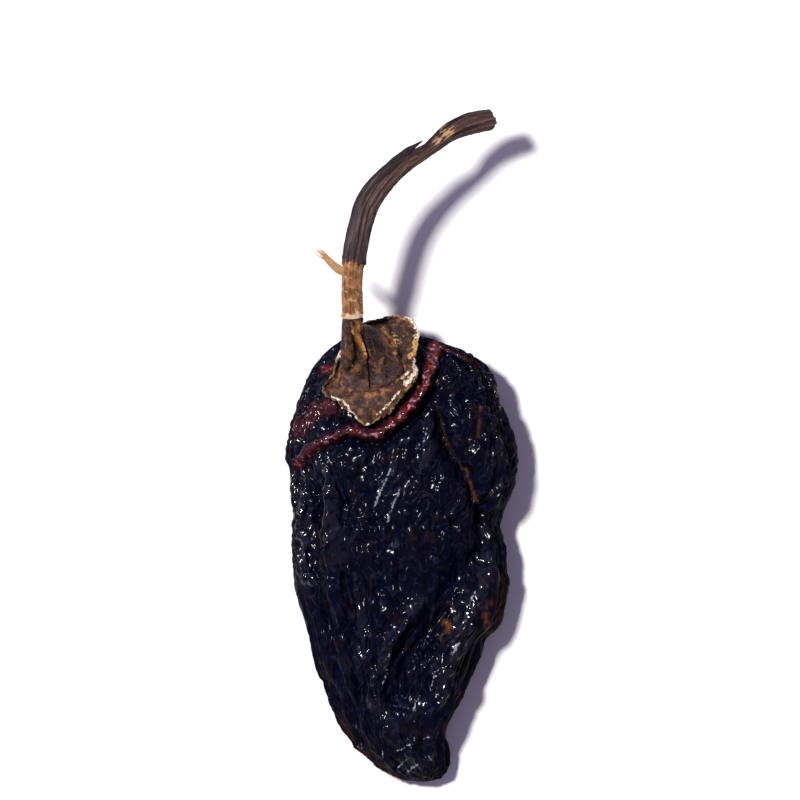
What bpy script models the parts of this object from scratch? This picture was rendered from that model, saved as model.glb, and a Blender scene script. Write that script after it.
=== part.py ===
"""A dried chilli that lies on its side: a flattened, folded pod, its calyx and its curved stem.

The pod runs along Y, with the stem at the +Y end, and rests on a small flat on Z = 0. Sizes are in
millimetres until a mesh is made. Every shape is a grid of rings with a pole at each end.
"""

import math

import bmesh
import bpy
from mathutils import Vector, noise
from mathutils.bvhtree import BVHTree

MM = 0.001

# Slices across the pod, stem end first: y, left edge, right edge, underside and top.
POD_SLICES = (
    (27.0, -8.0, 0.0, 9.0, 13.0),
    (25.0, -13.5, 6.5, 5.0, 16.2),
    (21.5, -18.0, 14.5, 2.0, 19.3),
    (16.5, -21.5, 19.8, 0.0, 21.6),
    (10.0, -24.3, 21.9, -0.5, 23.0),
    (3.0, -26.4, 24.9, -0.6, 23.6),
    (-2.5, -27.5, 26.0, -0.6, 23.5),
    (-8.0, -26.2, 25.6, -0.6, 23.1),
    (-13.0, -25.7, 24.0, -0.6, 22.7),
    (-17.6, -25.7, 21.9, -0.6, 22.0),
    (-24.0, -25.9, 23.0, -0.6, 21.1),
    (-33.0, -24.9, 23.7, -0.6, 19.8),
    (-41.0, -22.6, 22.2, -0.6, 18.4),
    (-45.0, -21.5, 18.6, -0.6, 17.7),
    (-50.0, -20.3, 16.7, -0.6, 16.8),
    (-58.0, -17.1, 13.4, -0.5, 15.2),
    (-66.5, -13.3, 8.7, -0.4, 13.2),
    (-71.0, -10.3, 9.7, -0.2, 11.8),
    (-75.5, -5.4, 10.2, 0.3, 9.2),
    (-78.0, -0.5, 8.2, 1.0, 6.6),
    (-78.9, 3.0, 6.0, 2.2, 4.6),
)
POD_RINGS = 60
SHOULDER_CLOSENESS = 0.7  # spacing of the rings at the stem end, as a share of the mean
POD_UPPER = 52  # points round the side that faces up
POD_LOWER = 28
POD_BOXINESS = 2.1  # 2 is an ellipse

# Large folds of the upper side: height (a furrow's is negative), half width, and the line that each follows.
COLLAR = (3.0, 1.8, ((7.3, 24.0), (6.8, 18.8), (4.7, 13.9), (1.9, 9.9), (-2.4, 5.6), (-6.2, 2.8),
                     (-11.8, 4.2), (-16.7, 2.1), (-21.4, -0.3), (-24.2, -3.6)))
SHOULDER_FOLD = (1.5, 1.5, ((-24.6, 4.0), (-20.0, 8.4), (-14.6, 10.2)))
SHOULDER_SEAM = (1.1, 1.1, ((7.3, 24.2), (12.7, 21.4), (17.6, 19.0)))
LOBE_FURROW = (-3.0, 2.4, ((8.2, 9.2), (10.8, 0.7), (15.0, -6.1), (17.2, -12.0), (20.5, -17.4)))
CENTRE_FURROW = (-4.2, 3.4, ((21.0, -23.0), (15.5, -28.5), (8.4, -40.5), (3.0, -47.5), (-1.6, -54.5),
                             (-2.6, -61.0)))
CENTRE_CREST = (1.6, 2.2, ((4.0, -36.0), (-1.5, -44.5), (-5.4, -53.0), (-6.4, -61.0)))
FLAP_CREST = (2.2, 2.8, ((20.5, -27.0), (17.6, -34.0), (13.4, -44.7), (9.2, -57.3), (5.4, -70.0)))
TIP_FOLD = (1.3, 1.6, ((-5.0, -66.0), (0.5, -71.5), (5.0, -75.5)))
FOLDS = (COLLAR, SHOULDER_FOLD, SHOULDER_SEAM, LOBE_FURROW, CENTRE_FURROW, CENTRE_CREST, FLAP_CREST, TIP_FOLD)
FOLD_END_SHARE = 0.12  # share of a fold's length over which it dies out
FOLD_END_HEIGHT = 0.25  # height that is left at its very end, as a share of the whole

# Folds that run beside the pod's left edge: share of the width in from that edge, height, half width.
EDGE_FOLDS = ((0.055, 1.2, 1.3), (0.115, -1.5, 1.2), (0.175, 1.3, 1.7), (0.25, -1.2, 1.5))
EDGE_FOLD_START = -2.0
EDGE_FOLD_END = -71.0

CRUMPLE_HEIGHT = 0.75
CRUMPLE_SIZE = 4.6
WANDER = 0.8  # how far the crests stray from straight lines, in crumple sizes
WANDER_SIZE = 12.0
CREST_STRETCH = 2.0  # how much longer the crests are than they are wide
CREST_SHARPNESS = 2.6
DENT_SHIFT = Vector((3.7, 1.1, 8.3))
WANDER_SHIFTS = (Vector((9.3, -1.5, -8.0)), Vector((0.0, 0.0, 0.0)), Vector((6.3, 0.2, -2.7)))
DENT_HEIGHT = 0.8
DENT_SIZE = 9.0
UNDERSIDE_CALM = 0.6  # how much of the crumple the underside has
EDGE_CALM = 0.6  # the same for the narrow band along each side
EDGE_BAND = 0.35  # half height of that band, as a share of the pod's half height
END_SHARE = 0.05  # share of the length over which the relief dies out at each end
PLEATS = 13  # lengthwise folds round the whole pod, of which the sides and the underside show theirs
PLEAT_HEIGHT = 1.0
PLEAT_WANDER = 1.5
PLEAT_WANDER_SIZE = 24.0
TOP_BAND = (-0.1, 0.5)  # sines of the turn between which the crumpled top takes over from the sides
SIDE_BAND = (0.25, 0.75)  # and between which the pleated sides fade out
FOLD_STEPS = 24
LENGTH_STEPS = 400

# The calyx's edge, seen from above, from its lowest point round by the left.
CALYX_EDGE = (
    (-8.1, 5.1), (-10.9, 6.8), (-12.7, 8.9), (-16.0, 11.2), (-18.6, 13.4), (-17.9, 17.2), (-15.4, 20.8),
    (-14.2, 24.4), (-12.4, 27.6), (-7.6, 29.4), (-2.6, 30.2), (1.4, 30.3), (3.6, 27.4), (3.2, 23.8),
    (2.7, 20.4), (3.1, 17.2), (2.1, 14.6), (-0.2, 12.4), (-2.1, 9.4), (-4.0, 7.7), (-6.0, 6.6),
)
# The foot of its bell, where the bell meets the brim, point by point beside the edge.
CALYX_FOOT = (
    (-8.0, 12.9), (-9.9, 13.0), (-11.5, 13.4), (-13.2, 14.4), (-14.3, 15.8), (-14.5, 17.8), (-14.1, 20.1),
    (-13.3, 22.9), (-12.4, 25.9), (-9.8, 27.6), (-7.3, 28.4), (-5.6, 27.6), (-4.3, 25.8), (-2.9, 23.7),
    (-1.5, 21.8), (-0.3, 20.0), (-0.1, 18.0), (-1.2, 16.3), (-2.9, 14.9), (-4.7, 13.9), (-6.4, 13.1),
)
CALYX_COLUMNS = 44
BELL_ROWS = 11
BRIM_ROWS = 5
UNDER_ROWS = 8
CALYX_LIP = 1.15  # thickness of the brim
CALYX_RIDE = 1.8  # how far the brim's upper face is above the pod
CALYX_REAR_Z = 14.5
CALYX_FRONT_Z = 25.2
CALYX_FALL = 1.8  # how late towards the rear the calyx falls from its front height to its rear height
FOOT_LIFT = 0.4  # how much higher than the brim's edge the foot rides
NECK_RUN = 4.5  # how far the bell follows the stem before it opens
NECK_OPENING = 0.4
FOOT_REACH = 2.0  # how far inside the foot the bell comes down from
FOOT_DROP = 2.6
BELL_RIBS = 9
BELL_RIB_HEIGHT = 0.4
SKIN_REACH = 1.3  # the brim clears the pod's highest place within this distance

STEM_ROUTE = (
    (-11.9, 31.7, 27.4), (-12.0, 37.4, 29.0), (-11.5, 43.5, 30.3), (-10.3, 49.8, 31.1), (-8.2, 56.2, 31.2),
    (-4.4, 61.5, 30.7), (0.4, 66.1, 29.5), (5.7, 69.7, 27.9), (10.8, 73.2, 26.0), (15.8, 75.2, 24.1),
    (20.8, 76.2, 22.2),
)
STEM_RADII = (2.45, 2.35, 2.35, 2.3, 2.25, 2.1, 1.8, 1.45, 1.8, 2.05, 1.85)
STEM_SIDES = 16
STEM_RINGS = 50
STEM_RIDGES = 5
STEM_RIDGE_SHARE = 0.06
STEM_RIDGE_START = 0.1  # share of the way along where the ridges reach their full height
STEM_TWIST = 1.4  # radians from end to end
STEM_END_START = 0.97  # share of the way along where the stem's end rounds off
STEM_END_TAPER = 0.3
BARK_START = 11.5  # where the bark begins, along the stem from the calyx
BARK_THICKNESS = 0.25
BARK_EDGE = 1.2  # length over which the bark reaches its thickness

SLIVER_ROUTE = ((-14.6, 40.2, 29.4), (-15.6, 40.7, 29.5), (-17.6, 42.8, 30.2), (-19.8, 45.5, 31.3))
SLIVER_WIDTHS = (2.3, 2.1, 1.7, 0.8)
SLIVER_THICKNESS = 0.7
SLIVER_THINNING = 0.4
SLIVER_SIDES = 8
SLIVER_RINGS = 9

GAP = 0.3

POD_COLOUR = (0.012, 0.010, 0.018, 1.0)
CALYX_COLOUR = (0.130, 0.062, 0.030, 1.0)
BARK_COLOUR = (0.070, 0.035, 0.030, 1.0)
WOOD_COLOUR = (0.480, 0.230, 0.080, 1.0)


def clear_scene():
    for obj in list(bpy.data.objects):
        bpy.data.objects.remove(obj, do_unlink=True)


def material(name, colour, roughness):
    made = bpy.data.materials.new(name)
    made.use_nodes = True
    shader = made.node_tree.nodes["Principled BSDF"]
    shader.inputs["Base Color"].default_value = colour
    shader.inputs["Roughness"].default_value = roughness
    shader.inputs["Metallic"].default_value = 0.0
    return made


def clamp(value, low=0.0, high=1.0):
    return max(low, min(high, value))


def smoothstep(low, high, value):
    share = clamp((value - low) / (high - low))
    return share * share * (3 - 2 * share)


def along(rows, share, closed=False):
    """The row at this share of the way along, on a smooth curve through evenly numbered rows."""
    count = len(rows)
    place = share * (count if closed else count - 1)
    first = int(place) if closed else min(int(place), count - 2)
    t = place - first

    def row(index):
        return rows[index % count] if closed else rows[int(clamp(index, 0, count - 1))]

    a, b, c, d = (row(first + step) for step in (-1, 0, 1, 2))
    return tuple(
        0.5 * (2 * q + (r - p) * t + (2 * p - 5 * q + 4 * r - s) * t * t + (3 * q - p - 3 * r + s) * t ** 3)
        for p, q, r, s in zip(a, b, c, d)
    )


def even_shares(rows, count):
    """Shares along the rows that are an even distance apart on the curve, measured over every column."""
    fine = [i / LENGTH_STEPS for i in range(LENGTH_STEPS + 1)]
    points = [Vector(along(rows, share)) for share in fine]
    run = [0.0]
    for before, after in zip(points, points[1:]):
        run.append(run[-1] + (after - before).length)
    shares = []
    place = 0
    for i in range(count):
        wanted = run[-1] * i / (count - 1)
        while place < len(run) - 2 and run[place + 1] < wanted:
            place += 1
        part = (wanted - run[place]) / max(run[place + 1] - run[place], 1e-9)
        shares.append(fine[place] + part * (fine[place + 1] - fine[place]))
    return shares


def distance_to_line(x, y, line):
    """Distance in plan from a point to a line of points, and the share along the line of the nearest place."""
    best = (1e9, 0.0)
    spans = len(line) - 1
    for index in range(spans):
        (ax, ay), (bx, by) = line[index], line[index + 1]
        dx, dy = bx - ax, by - ay
        part = clamp(((x - ax) * dx + (y - ay) * dy) / (dx * dx + dy * dy))
        away = math.hypot(x - ax - part * dx, y - ay - part * dy)
        if away < best[0]:
            best = (away, (index + part) / spans)
    return best


def edge_fold_line(inset):
    line = []
    for share in even_shares(POD_SLICES, 40):
        y, left, right, _, _ = along(POD_SLICES, share)
        if EDGE_FOLD_END <= y <= EDGE_FOLD_START:
            line.append((left + inset * (right - left), y))
    return line


def all_folds():
    shares = [i / FOLD_STEPS for i in range(FOLD_STEPS + 1)]
    folds = [(height, width, [along(line, share) for share in shares]) for height, width, line in FOLDS]
    folds += [(height, width, edge_fold_line(inset)) for inset, height, width in EDGE_FOLDS]
    return folds


def fold_height(x, y, folds):
    total = 0.0
    for height, width, line in folds:
        away, share = distance_to_line(x, y, line)
        fade = smoothstep(0.0, FOLD_END_SHARE, share) * smoothstep(1.0, 1 - FOLD_END_SHARE, share)
        total += height * math.exp(-((away / width) ** 2)) * (FOLD_END_HEIGHT + (1 - FOLD_END_HEIGHT) * fade)
    return total


def crumple(point):
    """Dried skin: narrow crests drawn out along the pod, with broad dents between them."""
    wander = Vector([noise.noise(point / WANDER_SIZE + shift) for shift in WANDER_SHIFTS]) * WANDER
    drawn = Vector((point.x, point.y / CREST_STRETCH, point.z)) / CRUMPLE_SIZE + wander
    crest = 1 - CREST_SHARPNESS * abs(noise.noise(drawn))
    dent = noise.noise(point / DENT_SIZE + DENT_SHIFT)
    return CRUMPLE_HEIGHT * crest + DENT_HEIGHT * dent


def pleat(angle, y):
    """Sharp lengthwise folds of the sides and the underside."""
    wander = noise.noise(Vector((math.cos(angle), math.sin(angle), y / PLEAT_WANDER_SIZE))) * PLEAT_WANDER
    return PLEAT_HEIGHT * (1 - 2 * abs(math.sin(PLEATS * angle / 2 + wander)))


def pod_angles():
    upper = [math.pi * i / POD_UPPER for i in range(POD_UPPER)]
    lower = [math.pi + math.pi * i / POD_LOWER for i in range(POD_LOWER)]
    return upper + lower


def power(value):
    return math.copysign(abs(value) ** (2 / POD_BOXINESS), value)


def pod_point(share, angle, folds):
    y, left, right, under, top = along(POD_SLICES, share)
    half_width, half_height = (right - left) / 2, (top - under) / 2
    across, up = power(math.cos(angle)), power(math.sin(angle))
    base = Vector(((left + right) / 2 + half_width * across, y, (under + top) / 2 + half_height * up))
    out = Vector((math.cos(angle) / half_width, 0, math.sin(angle) / half_height)).normalized()
    faces_up = smoothstep(*TOP_BAND, math.sin(angle))
    calm = UNDERSIDE_CALM + (1 - UNDERSIDE_CALM) * faces_up
    if abs(math.sin(angle)) < EDGE_BAND:
        calm *= EDGE_CALM
    end = smoothstep(0.0, END_SHARE, share) * smoothstep(1.0, 1 - END_SHARE, share)
    sides = 1 - smoothstep(*SIDE_BAND, math.sin(angle))
    lift = fold_height(base.x, base.y, folds) * faces_up + crumple(base) * calm + pleat(angle, y) * sides
    moved = base + out * lift * end
    moved.z = max(moved.z, 0.0)
    return moved


def pod_rings():
    folds = all_folds()
    shares = [share * (SHOULDER_CLOSENESS + (1 - SHOULDER_CLOSENESS) * share)
              for share in even_shares(POD_SLICES, POD_RINGS)]
    return [[pod_point(share, angle, folds) for angle in pod_angles()] for share in shares]


def centre_of(ring):
    return sum(ring, Vector()) / len(ring)


def ring_faces(columns, ring_count):
    faces = []
    for row in range(ring_count - 1):
        for column in range(columns):
            after = (column + 1) % columns
            faces.append((row * columns + column, row * columns + after,
                          (row + 1) * columns + after, (row + 1) * columns + column))
    return faces


def closed_mesh(rings):
    """Vertices and faces of a tube of rings whose two ends are each closed by a pole."""
    columns, count = len(rings[0]), len(rings)
    points = [point for ring in rings for point in ring]
    faces = ring_faces(columns, count)
    for end, row in ((centre_of(rings[0]), 0), (centre_of(rings[-1]), count - 1)):
        pole = len(points)
        points.append(end)
        for column in range(columns):
            pair = (row * columns + column, row * columns + (column + 1) % columns)
            faces.append((pole, pair[1], pair[0]) if row == 0 else (pole, pair[0], pair[1]))
    return points, faces


def add_solid(name, rings, finish):
    points, faces = closed_mesh(rings)
    mesh = bpy.data.meshes.new(name)
    mesh.from_pydata([tuple(point * MM) for point in points], [], faces)
    work = bmesh.new()
    work.from_mesh(mesh)
    bmesh.ops.recalc_face_normals(work, faces=work.faces)
    bmesh.ops.triangulate(work, faces=work.faces)
    work.to_mesh(mesh)
    work.free()
    mesh.materials.append(finish)
    mesh.shade_smooth()
    obj = bpy.data.objects.new(name, mesh)
    bpy.context.scene.collection.objects.link(obj)
    return obj


def surface_of(rings):
    points, faces = closed_mesh(rings)
    return BVHTree.FromPolygons(points, faces)


def height_under(surface, x, y):
    """The highest place of a surface near a point in plan, or None past its edge."""
    found = []
    for i in range(9):
        spread = SKIN_REACH if i else 0.0
        spot = Vector((x + spread * math.cos(i * math.pi / 4), y + spread * math.sin(i * math.pi / 4), 100))
        hit = surface.ray_cast(spot, Vector((0, 0, -1)))[0]
        if hit is not None:
            found.append(hit.z)
    return max(found) if found else None


def bezier(a, b, c, d, t):
    return a * (1 - t) ** 3 + b * 3 * t * (1 - t) ** 2 + c * 3 * t * t * (1 - t) + d * t ** 3


def neck_frame():
    neck = Vector(STEM_ROUTE[0])
    axis = (Vector(STEM_ROUTE[1]) - neck).normalized()
    side = axis.cross(Vector((0, 0, 1))).normalized()
    return neck, axis, side, side.cross(axis).normalized()


def laid(line, share, pod_surface, ride):
    """A point of a line traced from above, at its height over the pod."""
    x, y = along(line, share, closed=True)
    lowest, highest = min(p[1] for p in CALYX_EDGE), max(p[1] for p in CALYX_EDGE)
    rearward = clamp((y - lowest) / (highest - lowest))
    z = CALYX_FRONT_Z + (CALYX_REAR_Z - CALYX_FRONT_Z) * rearward ** CALYX_FALL
    rest = height_under(pod_surface, x, y)
    return Vector((x, y, z if rest is None else max(z, rest + ride)))


def calyx_spoke(share, pod_surface):
    """One line of the calyx's upper face: from the neck down the bell to its foot, and out over the brim."""
    neck, axis, side, up = neck_frame()
    edge = laid(CALYX_EDGE, share, pod_surface, CALYX_RIDE)
    foot = laid(CALYX_FOOT, share, pod_surface, CALYX_RIDE + FOOT_LIFT)
    spoke = foot.lerp(edge, 0.5) - neck
    angle = math.atan2(spoke.dot(up), spoke.dot(side))
    radial = side * math.cos(angle) + up * math.sin(angle)
    start = neck + radial * STEM_RADII[0]
    opening = start - axis * NECK_RUN + radial * NECK_OPENING
    above = foot + (neck - foot).normalized() * FOOT_REACH + Vector((0, 0, FOOT_DROP))
    bell = [bezier(start, opening, above, foot, i / (BELL_ROWS - 1)) for i in range(BELL_ROWS)]
    for index, point in enumerate(bell):
        rib = math.cos(2 * math.pi * BELL_RIBS * share) * math.sin(math.pi * index / (BELL_ROWS - 1)) ** 2
        point += radial * BELL_RIB_HEIGHT * rib
    line = bell + [foot.lerp(edge, (i + 1) / BRIM_ROWS) for i in range(BRIM_ROWS)]
    for point in line:
        rest = height_under(pod_surface, point.x, point.y)
        if rest is not None:
            point.z = max(point.z, rest + CALYX_RIDE)
    return line


def calyx_rings(pod_surface):
    spokes = [calyx_spoke(i / CALYX_COLUMNS, pod_surface) for i in range(CALYX_COLUMNS)]
    upper = [list(ring) for ring in zip(*spokes)]
    rows = range(len(upper) - 1, len(upper) - 1 - UNDER_ROWS, -1)
    return upper + [[lowered(upper, row, column) for column in range(CALYX_COLUMNS)] for row in rows]


def lowered(rows, row, column):
    """The point a brim's thickness below this one, along the face's normal."""
    columns = len(rows[0])
    after, before = rows[row][(column + 1) % columns], rows[row][column - 1]
    inner = rows[row - 1][column]
    outer = rows[min(row + 1, len(rows) - 1)][column]
    normal = (after - before).cross(outer - inner).normalized()
    if normal.z < 0:
        normal = -normal
    return rows[row][column] - normal * CALYX_LIP


def sweep(route, radius_at, sides, ring_count):
    """Rings round a smooth route, each with its own frame carried along without twist."""
    shares = even_shares(route, ring_count)
    points = [Vector(along(route, share)) for share in shares]
    up = Vector((0, 0, 1))
    rings = []
    run = 0.0
    for index, centre in enumerate(points):
        ahead = points[min(index + 1, ring_count - 1)] - points[max(index - 1, 0)]
        tangent = ahead.normalized()
        side = tangent.cross(up).normalized()
        up = side.cross(tangent).normalized()
        if index:
            run += (centre - points[index - 1]).length
        ring = []
        for corner in range(sides):
            angle = 2 * math.pi * corner / sides
            wide, high = radius_at(index / (ring_count - 1), run, angle)
            ring.append(centre + side * math.cos(angle) * wide + up * math.sin(angle) * high)
        rings.append(ring)
    return rings


def stem_radius(share, run, angle):
    place = share * (len(STEM_RADII) - 1)
    first = min(int(place), len(STEM_RADII) - 2)
    radius = STEM_RADII[first] + (STEM_RADII[first + 1] - STEM_RADII[first]) * (place - first)
    radius += BARK_THICKNESS * smoothstep(BARK_START - BARK_EDGE / 2, BARK_START + BARK_EDGE / 2, run)
    ridge = math.cos(STEM_RIDGES * (angle + STEM_TWIST * share))
    radius *= 1 + STEM_RIDGE_SHARE * ridge * smoothstep(0.0, STEM_RIDGE_START, share)
    radius *= 1 - STEM_END_TAPER * smoothstep(STEM_END_START, 1.0, share)
    return radius, radius


def sliver_radius(share, run, angle):
    place = share * (len(SLIVER_WIDTHS) - 1)
    first = min(int(place), len(SLIVER_WIDTHS) - 2)
    width = SLIVER_WIDTHS[first] + (SLIVER_WIDTHS[first + 1] - SLIVER_WIDTHS[first]) * (place - first)
    return width / 2, SLIVER_THICKNESS / 2 * (1 - SLIVER_THINNING * share)


def stem_rings():
    neck, axis, _, _ = neck_frame()
    route = [tuple(neck + axis * GAP)] + [tuple(point) for point in STEM_ROUTE[1:]]
    return sweep(route, stem_radius, STEM_SIDES, STEM_RINGS)


def centre_over_origin(solids):
    """Moves every ring in plan so that the whole chilli's box is centred on the origin."""
    points = [point for rings in solids for ring in rings for point in ring]
    middle = Vector((
        (min(p.x for p in points) + max(p.x for p in points)) / 2,
        (min(p.y for p in points) + max(p.y for p in points)) / 2,
        0,
    ))
    for point in points:
        point -= middle
    print("moved in plan by", [round(-value, 3) for value in middle])


def build():
    clear_scene()
    pod = pod_rings()
    calyx = calyx_rings(surface_of(pod))
    stem = stem_rings()
    sliver = sweep(SLIVER_ROUTE, sliver_radius, SLIVER_SIDES, SLIVER_RINGS)
    centre_over_origin((pod, calyx, stem, sliver))
    add_solid("pod", pod, material("pod_skin", POD_COLOUR, 0.3))
    add_solid("calyx", calyx, material("calyx_skin", CALYX_COLOUR, 0.75))
    add_solid("stem", stem, material("stem_bark", BARK_COLOUR, 0.7))
    add_solid("bark_sliver", sliver, material("bare_wood", WOOD_COLOUR, 0.8))


build()
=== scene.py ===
# %% [markdown]
# # A dried chilli, in cells
# This file dresses one dried chilli that lies on its side: a near-black folded pod, a brown calyx with a
# wavy brim, and a long ridged stem that is bare of bark next to the calyx. The cells go from the large forms
# to the small ones, and each says what the real thing is like before it is made.

# %% Load the frame
import math

import bpy
import numpy as np
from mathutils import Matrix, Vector, noise
from mathutils.bvhtree import BVHTree


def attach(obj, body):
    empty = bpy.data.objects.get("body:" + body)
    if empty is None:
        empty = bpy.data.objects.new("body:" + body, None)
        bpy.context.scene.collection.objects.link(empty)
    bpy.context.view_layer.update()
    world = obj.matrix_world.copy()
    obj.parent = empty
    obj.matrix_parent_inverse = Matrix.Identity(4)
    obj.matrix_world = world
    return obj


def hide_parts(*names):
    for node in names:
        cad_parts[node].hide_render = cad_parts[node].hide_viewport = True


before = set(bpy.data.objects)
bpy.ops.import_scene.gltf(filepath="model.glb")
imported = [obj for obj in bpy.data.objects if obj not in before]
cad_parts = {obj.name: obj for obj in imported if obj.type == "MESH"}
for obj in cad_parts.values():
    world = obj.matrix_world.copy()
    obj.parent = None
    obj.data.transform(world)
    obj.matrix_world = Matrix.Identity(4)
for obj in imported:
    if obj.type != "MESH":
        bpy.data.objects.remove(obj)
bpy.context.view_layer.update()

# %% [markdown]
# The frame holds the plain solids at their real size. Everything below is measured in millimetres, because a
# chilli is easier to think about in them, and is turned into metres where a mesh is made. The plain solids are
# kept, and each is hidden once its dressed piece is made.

MM = 0.001
SEED = 7

# %% [markdown]
# ## The picture
# The photograph looks straight down on white ground. A long lens keeps the raised stem from looking larger
# than the pod. One pixel of the 800 pixel wide picture is 0.235 mm at the height of the pod's widest line,
# and the middle of the picture is a known distance from the middle of the chilli.

# %% Camera
PIXEL = 0.235
PICTURE = 800  # width in pixels
LENS = 250.0
SENSOR = 36.0
SHARP_HEIGHT = 10.0
CLIP_RANGE = (0.05, 10)
PICTURE_MIDDLE = (400.0, 400.0)
PHOTO_ORIGIN = (403.0, 447.0)  # the pixel that part sizes were measured from
PLAN_SHIFT = (0.206, 0.499)  # how far the chilli was moved to centre it over the origin


def plan(px, py):
    """Where a pixel of the photograph falls, in millimetres."""
    return ((px - PHOTO_ORIGIN[0]) * PIXEL + PLAN_SHIFT[0], (PHOTO_ORIGIN[1] - py) * PIXEL + PLAN_SHIFT[1])


def show(name, data):
    """Puts a mesh, a lamp or a camera into the scene as an object."""
    obj = bpy.data.objects.new(name, data)
    bpy.context.scene.collection.objects.link(obj)
    return obj


def add_camera():
    camera = bpy.data.cameras.new("camera")
    camera.lens = LENS
    camera.sensor_width = SENSOR
    camera.clip_start, camera.clip_end = CLIP_RANGE
    obj = show("camera", camera)
    x, y = plan(*PICTURE_MIDDLE)
    height = PICTURE * PIXEL / 2 * LENS / (SENSOR / 2) + SHARP_HEIGHT
    obj.location = (x * MM, y * MM, height * MM)
    bpy.context.scene.camera = obj
    print("camera height, mm:", round(height))


add_camera()

# %% [markdown]
# ## Light
# The light comes from the upper left and is fairly hard, so the shadows fall to the lower right and are
# cool. A square lamp far away gives that edge, and a dim violet world opens the shadows and tints them. More
# lamps would only add second highlights to the glossy skin.

# %% Lamp and world
KEY_PLACE = (-0.50, 0.33, 1.28)
KEY_SIZE = 0.14
KEY_POWER = 26.5
KEY_COLOUR = (1.0, 0.97, 0.93)
WORLD_COLOUR = (0.76, 0.66, 1.0, 1.0)
WORLD_STRENGTH = 0.29


def add_lamp(name, place, size, power, colour):
    lamp = bpy.data.lights.new(name, "AREA")
    lamp.shape = "SQUARE"
    lamp.size = size
    lamp.energy = power
    lamp.color = colour
    obj = show(name, lamp)
    obj.location = place
    obj.rotation_euler = (-Vector(place)).to_track_quat("-Z", "Y").to_euler()
    print(name, "lamp, watts:", power)


def add_world():
    world = bpy.data.worlds.new("pale_sky")
    world.use_nodes = True
    sky = world.node_tree.nodes["Background"]
    sky.inputs["Color"].default_value = WORLD_COLOUR
    sky.inputs["Strength"].default_value = WORLD_STRENGTH
    bpy.context.scene.world = world


add_lamp("key", KEY_PLACE, KEY_SIZE, KEY_POWER, KEY_COLOUR)
add_world()
bpy.context.scene.view_settings.view_transform = "Standard"

# %% [markdown]
# ## The pod's large form
# A dried pod is a collapsed bag: flat, with a pinched edge all round, a few long folds and a furrow where
# one flap lies over the other. It could be sculpted, but a sculpt can't be read or changed. Here it is a
# row of slices from the stem end to the tip, each with its left and right edge, underside and top. A smooth
# curve through the slices gives the bag, and each fold is a line in plan with a height and a half width.

# %% Slices and folds
POD_SLICES = (  # y, left edge, right edge, underside, top
    (27.0, -8.0, 0.0, 9.0, 13.0),
    (25.0, -13.5, 6.5, 5.0, 16.2),
    (21.5, -18.0, 14.5, 2.0, 19.3),
    (16.5, -21.5, 19.8, 0.0, 21.6),
    (10.0, -24.3, 21.9, -0.5, 23.0),
    (3.0, -26.4, 24.9, -0.6, 23.6),
    (-2.5, -27.5, 26.0, -0.6, 23.5),
    (-8.0, -26.2, 25.6, -0.6, 23.1),
    (-13.0, -25.7, 24.0, -0.6, 22.7),
    (-17.6, -25.7, 21.9, -0.6, 22.0),
    (-24.0, -25.9, 23.0, -0.6, 21.1),
    (-33.0, -24.9, 23.7, -0.6, 19.8),
    (-41.0, -22.6, 22.2, -0.6, 18.4),
    (-45.0, -21.5, 18.6, -0.6, 17.7),
    (-50.0, -20.3, 16.7, -0.6, 16.8),
    (-58.0, -17.1, 13.4, -0.5, 15.2),
    (-66.5, -13.3, 8.7, -0.4, 13.2),
    (-71.0, -10.3, 9.7, -0.2, 11.8),
    (-75.5, -5.4, 10.2, 0.3, 9.2),
    (-78.0, -0.5, 8.2, 1.0, 6.6),
    (-78.9, 3.0, 6.0, 2.2, 4.6),
)
POD_BOXINESS = 2.1
# Each fold is a height, negative for a furrow, a half width, and the line that it follows.
COLLAR = (3.0, 1.2, ((7.3, 24.0), (6.8, 18.8), (4.7, 13.9), (1.9, 9.9), (-2.4, 5.6), (-6.2, 2.8),
                     (-11.8, 4.2), (-16.7, 2.1), (-21.4, -0.3), (-24.2, -3.6)))
SHOULDER_FOLD = (1.5, 1.5, ((-24.6, 4.0), (-20.0, 8.4), (-14.6, 10.2)))
SHOULDER_SEAM = (1.1, 1.1, ((7.3, 24.2), (12.7, 21.4), (17.6, 19.0)))
LOBE_FURROW = (-3.0, 2.4, ((8.2, 9.2), (10.8, 0.7), (15.0, -6.1), (17.2, -12.0), (20.5, -17.4)))
CENTRE_FURROW = (-3.1, 3.6, ((21.0, -23.0), (15.5, -28.5), (8.4, -40.5), (3.0, -47.5), (-1.6, -54.5),
                             (-2.6, -61.0)))
CENTRE_CREST = (1.6, 2.2, ((4.0, -36.0), (-1.5, -44.5), (-5.4, -53.0), (-6.4, -61.0)))
FLAP_CREST = (2.2, 2.8, ((20.5, -27.0), (17.6, -34.0), (13.4, -44.7), (9.2, -57.3), (5.4, -70.0)))
TIP_FOLD = (1.3, 1.6, ((-5.0, -66.0), (0.5, -71.5), (5.0, -75.5)))
LONG_CREASE = (0.5, 0.65, ((-1.4, -2.6), (-2.8, -4.7), (-4.9, -9.5), (-6.8, -14.1)))
SHORT_CREASE = (0.45, 0.6, ((-0.7, -9.6), (-2.4, -13.6), (-3.8, -17.2)))
STRANDS = (
    (0.7, 0.7, ((5.5, -40.0), (3.5, -43.5), (-0.9, -50.3), (-1.8, -57.5))),
    (0.7, 0.7, ((1.4, -40.5), (-1.2, -43.7), (-4.1, -47.6), (-7.4, -56.0))),
    (0.6, 0.6, ((8.4, -43.6), (5.6, -46.8), (1.6, -51.9), (0.6, -58.0))),
    (0.6, 0.7, ((-9.4, -36.0), (-11.0, -44.0), (-10.2, -54.0), (-6.4, -64.0))),
    (-0.8, 0.7, ((3.2, -41.2), (0.6, -45.6), (-2.6, -50.6), (-3.6, -57.0))),
    (-0.7, 0.6, ((-6.4, -38.0), (-8.4, -46.0), (-8.0, -54.0), (-4.6, -63.0))),
)
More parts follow.
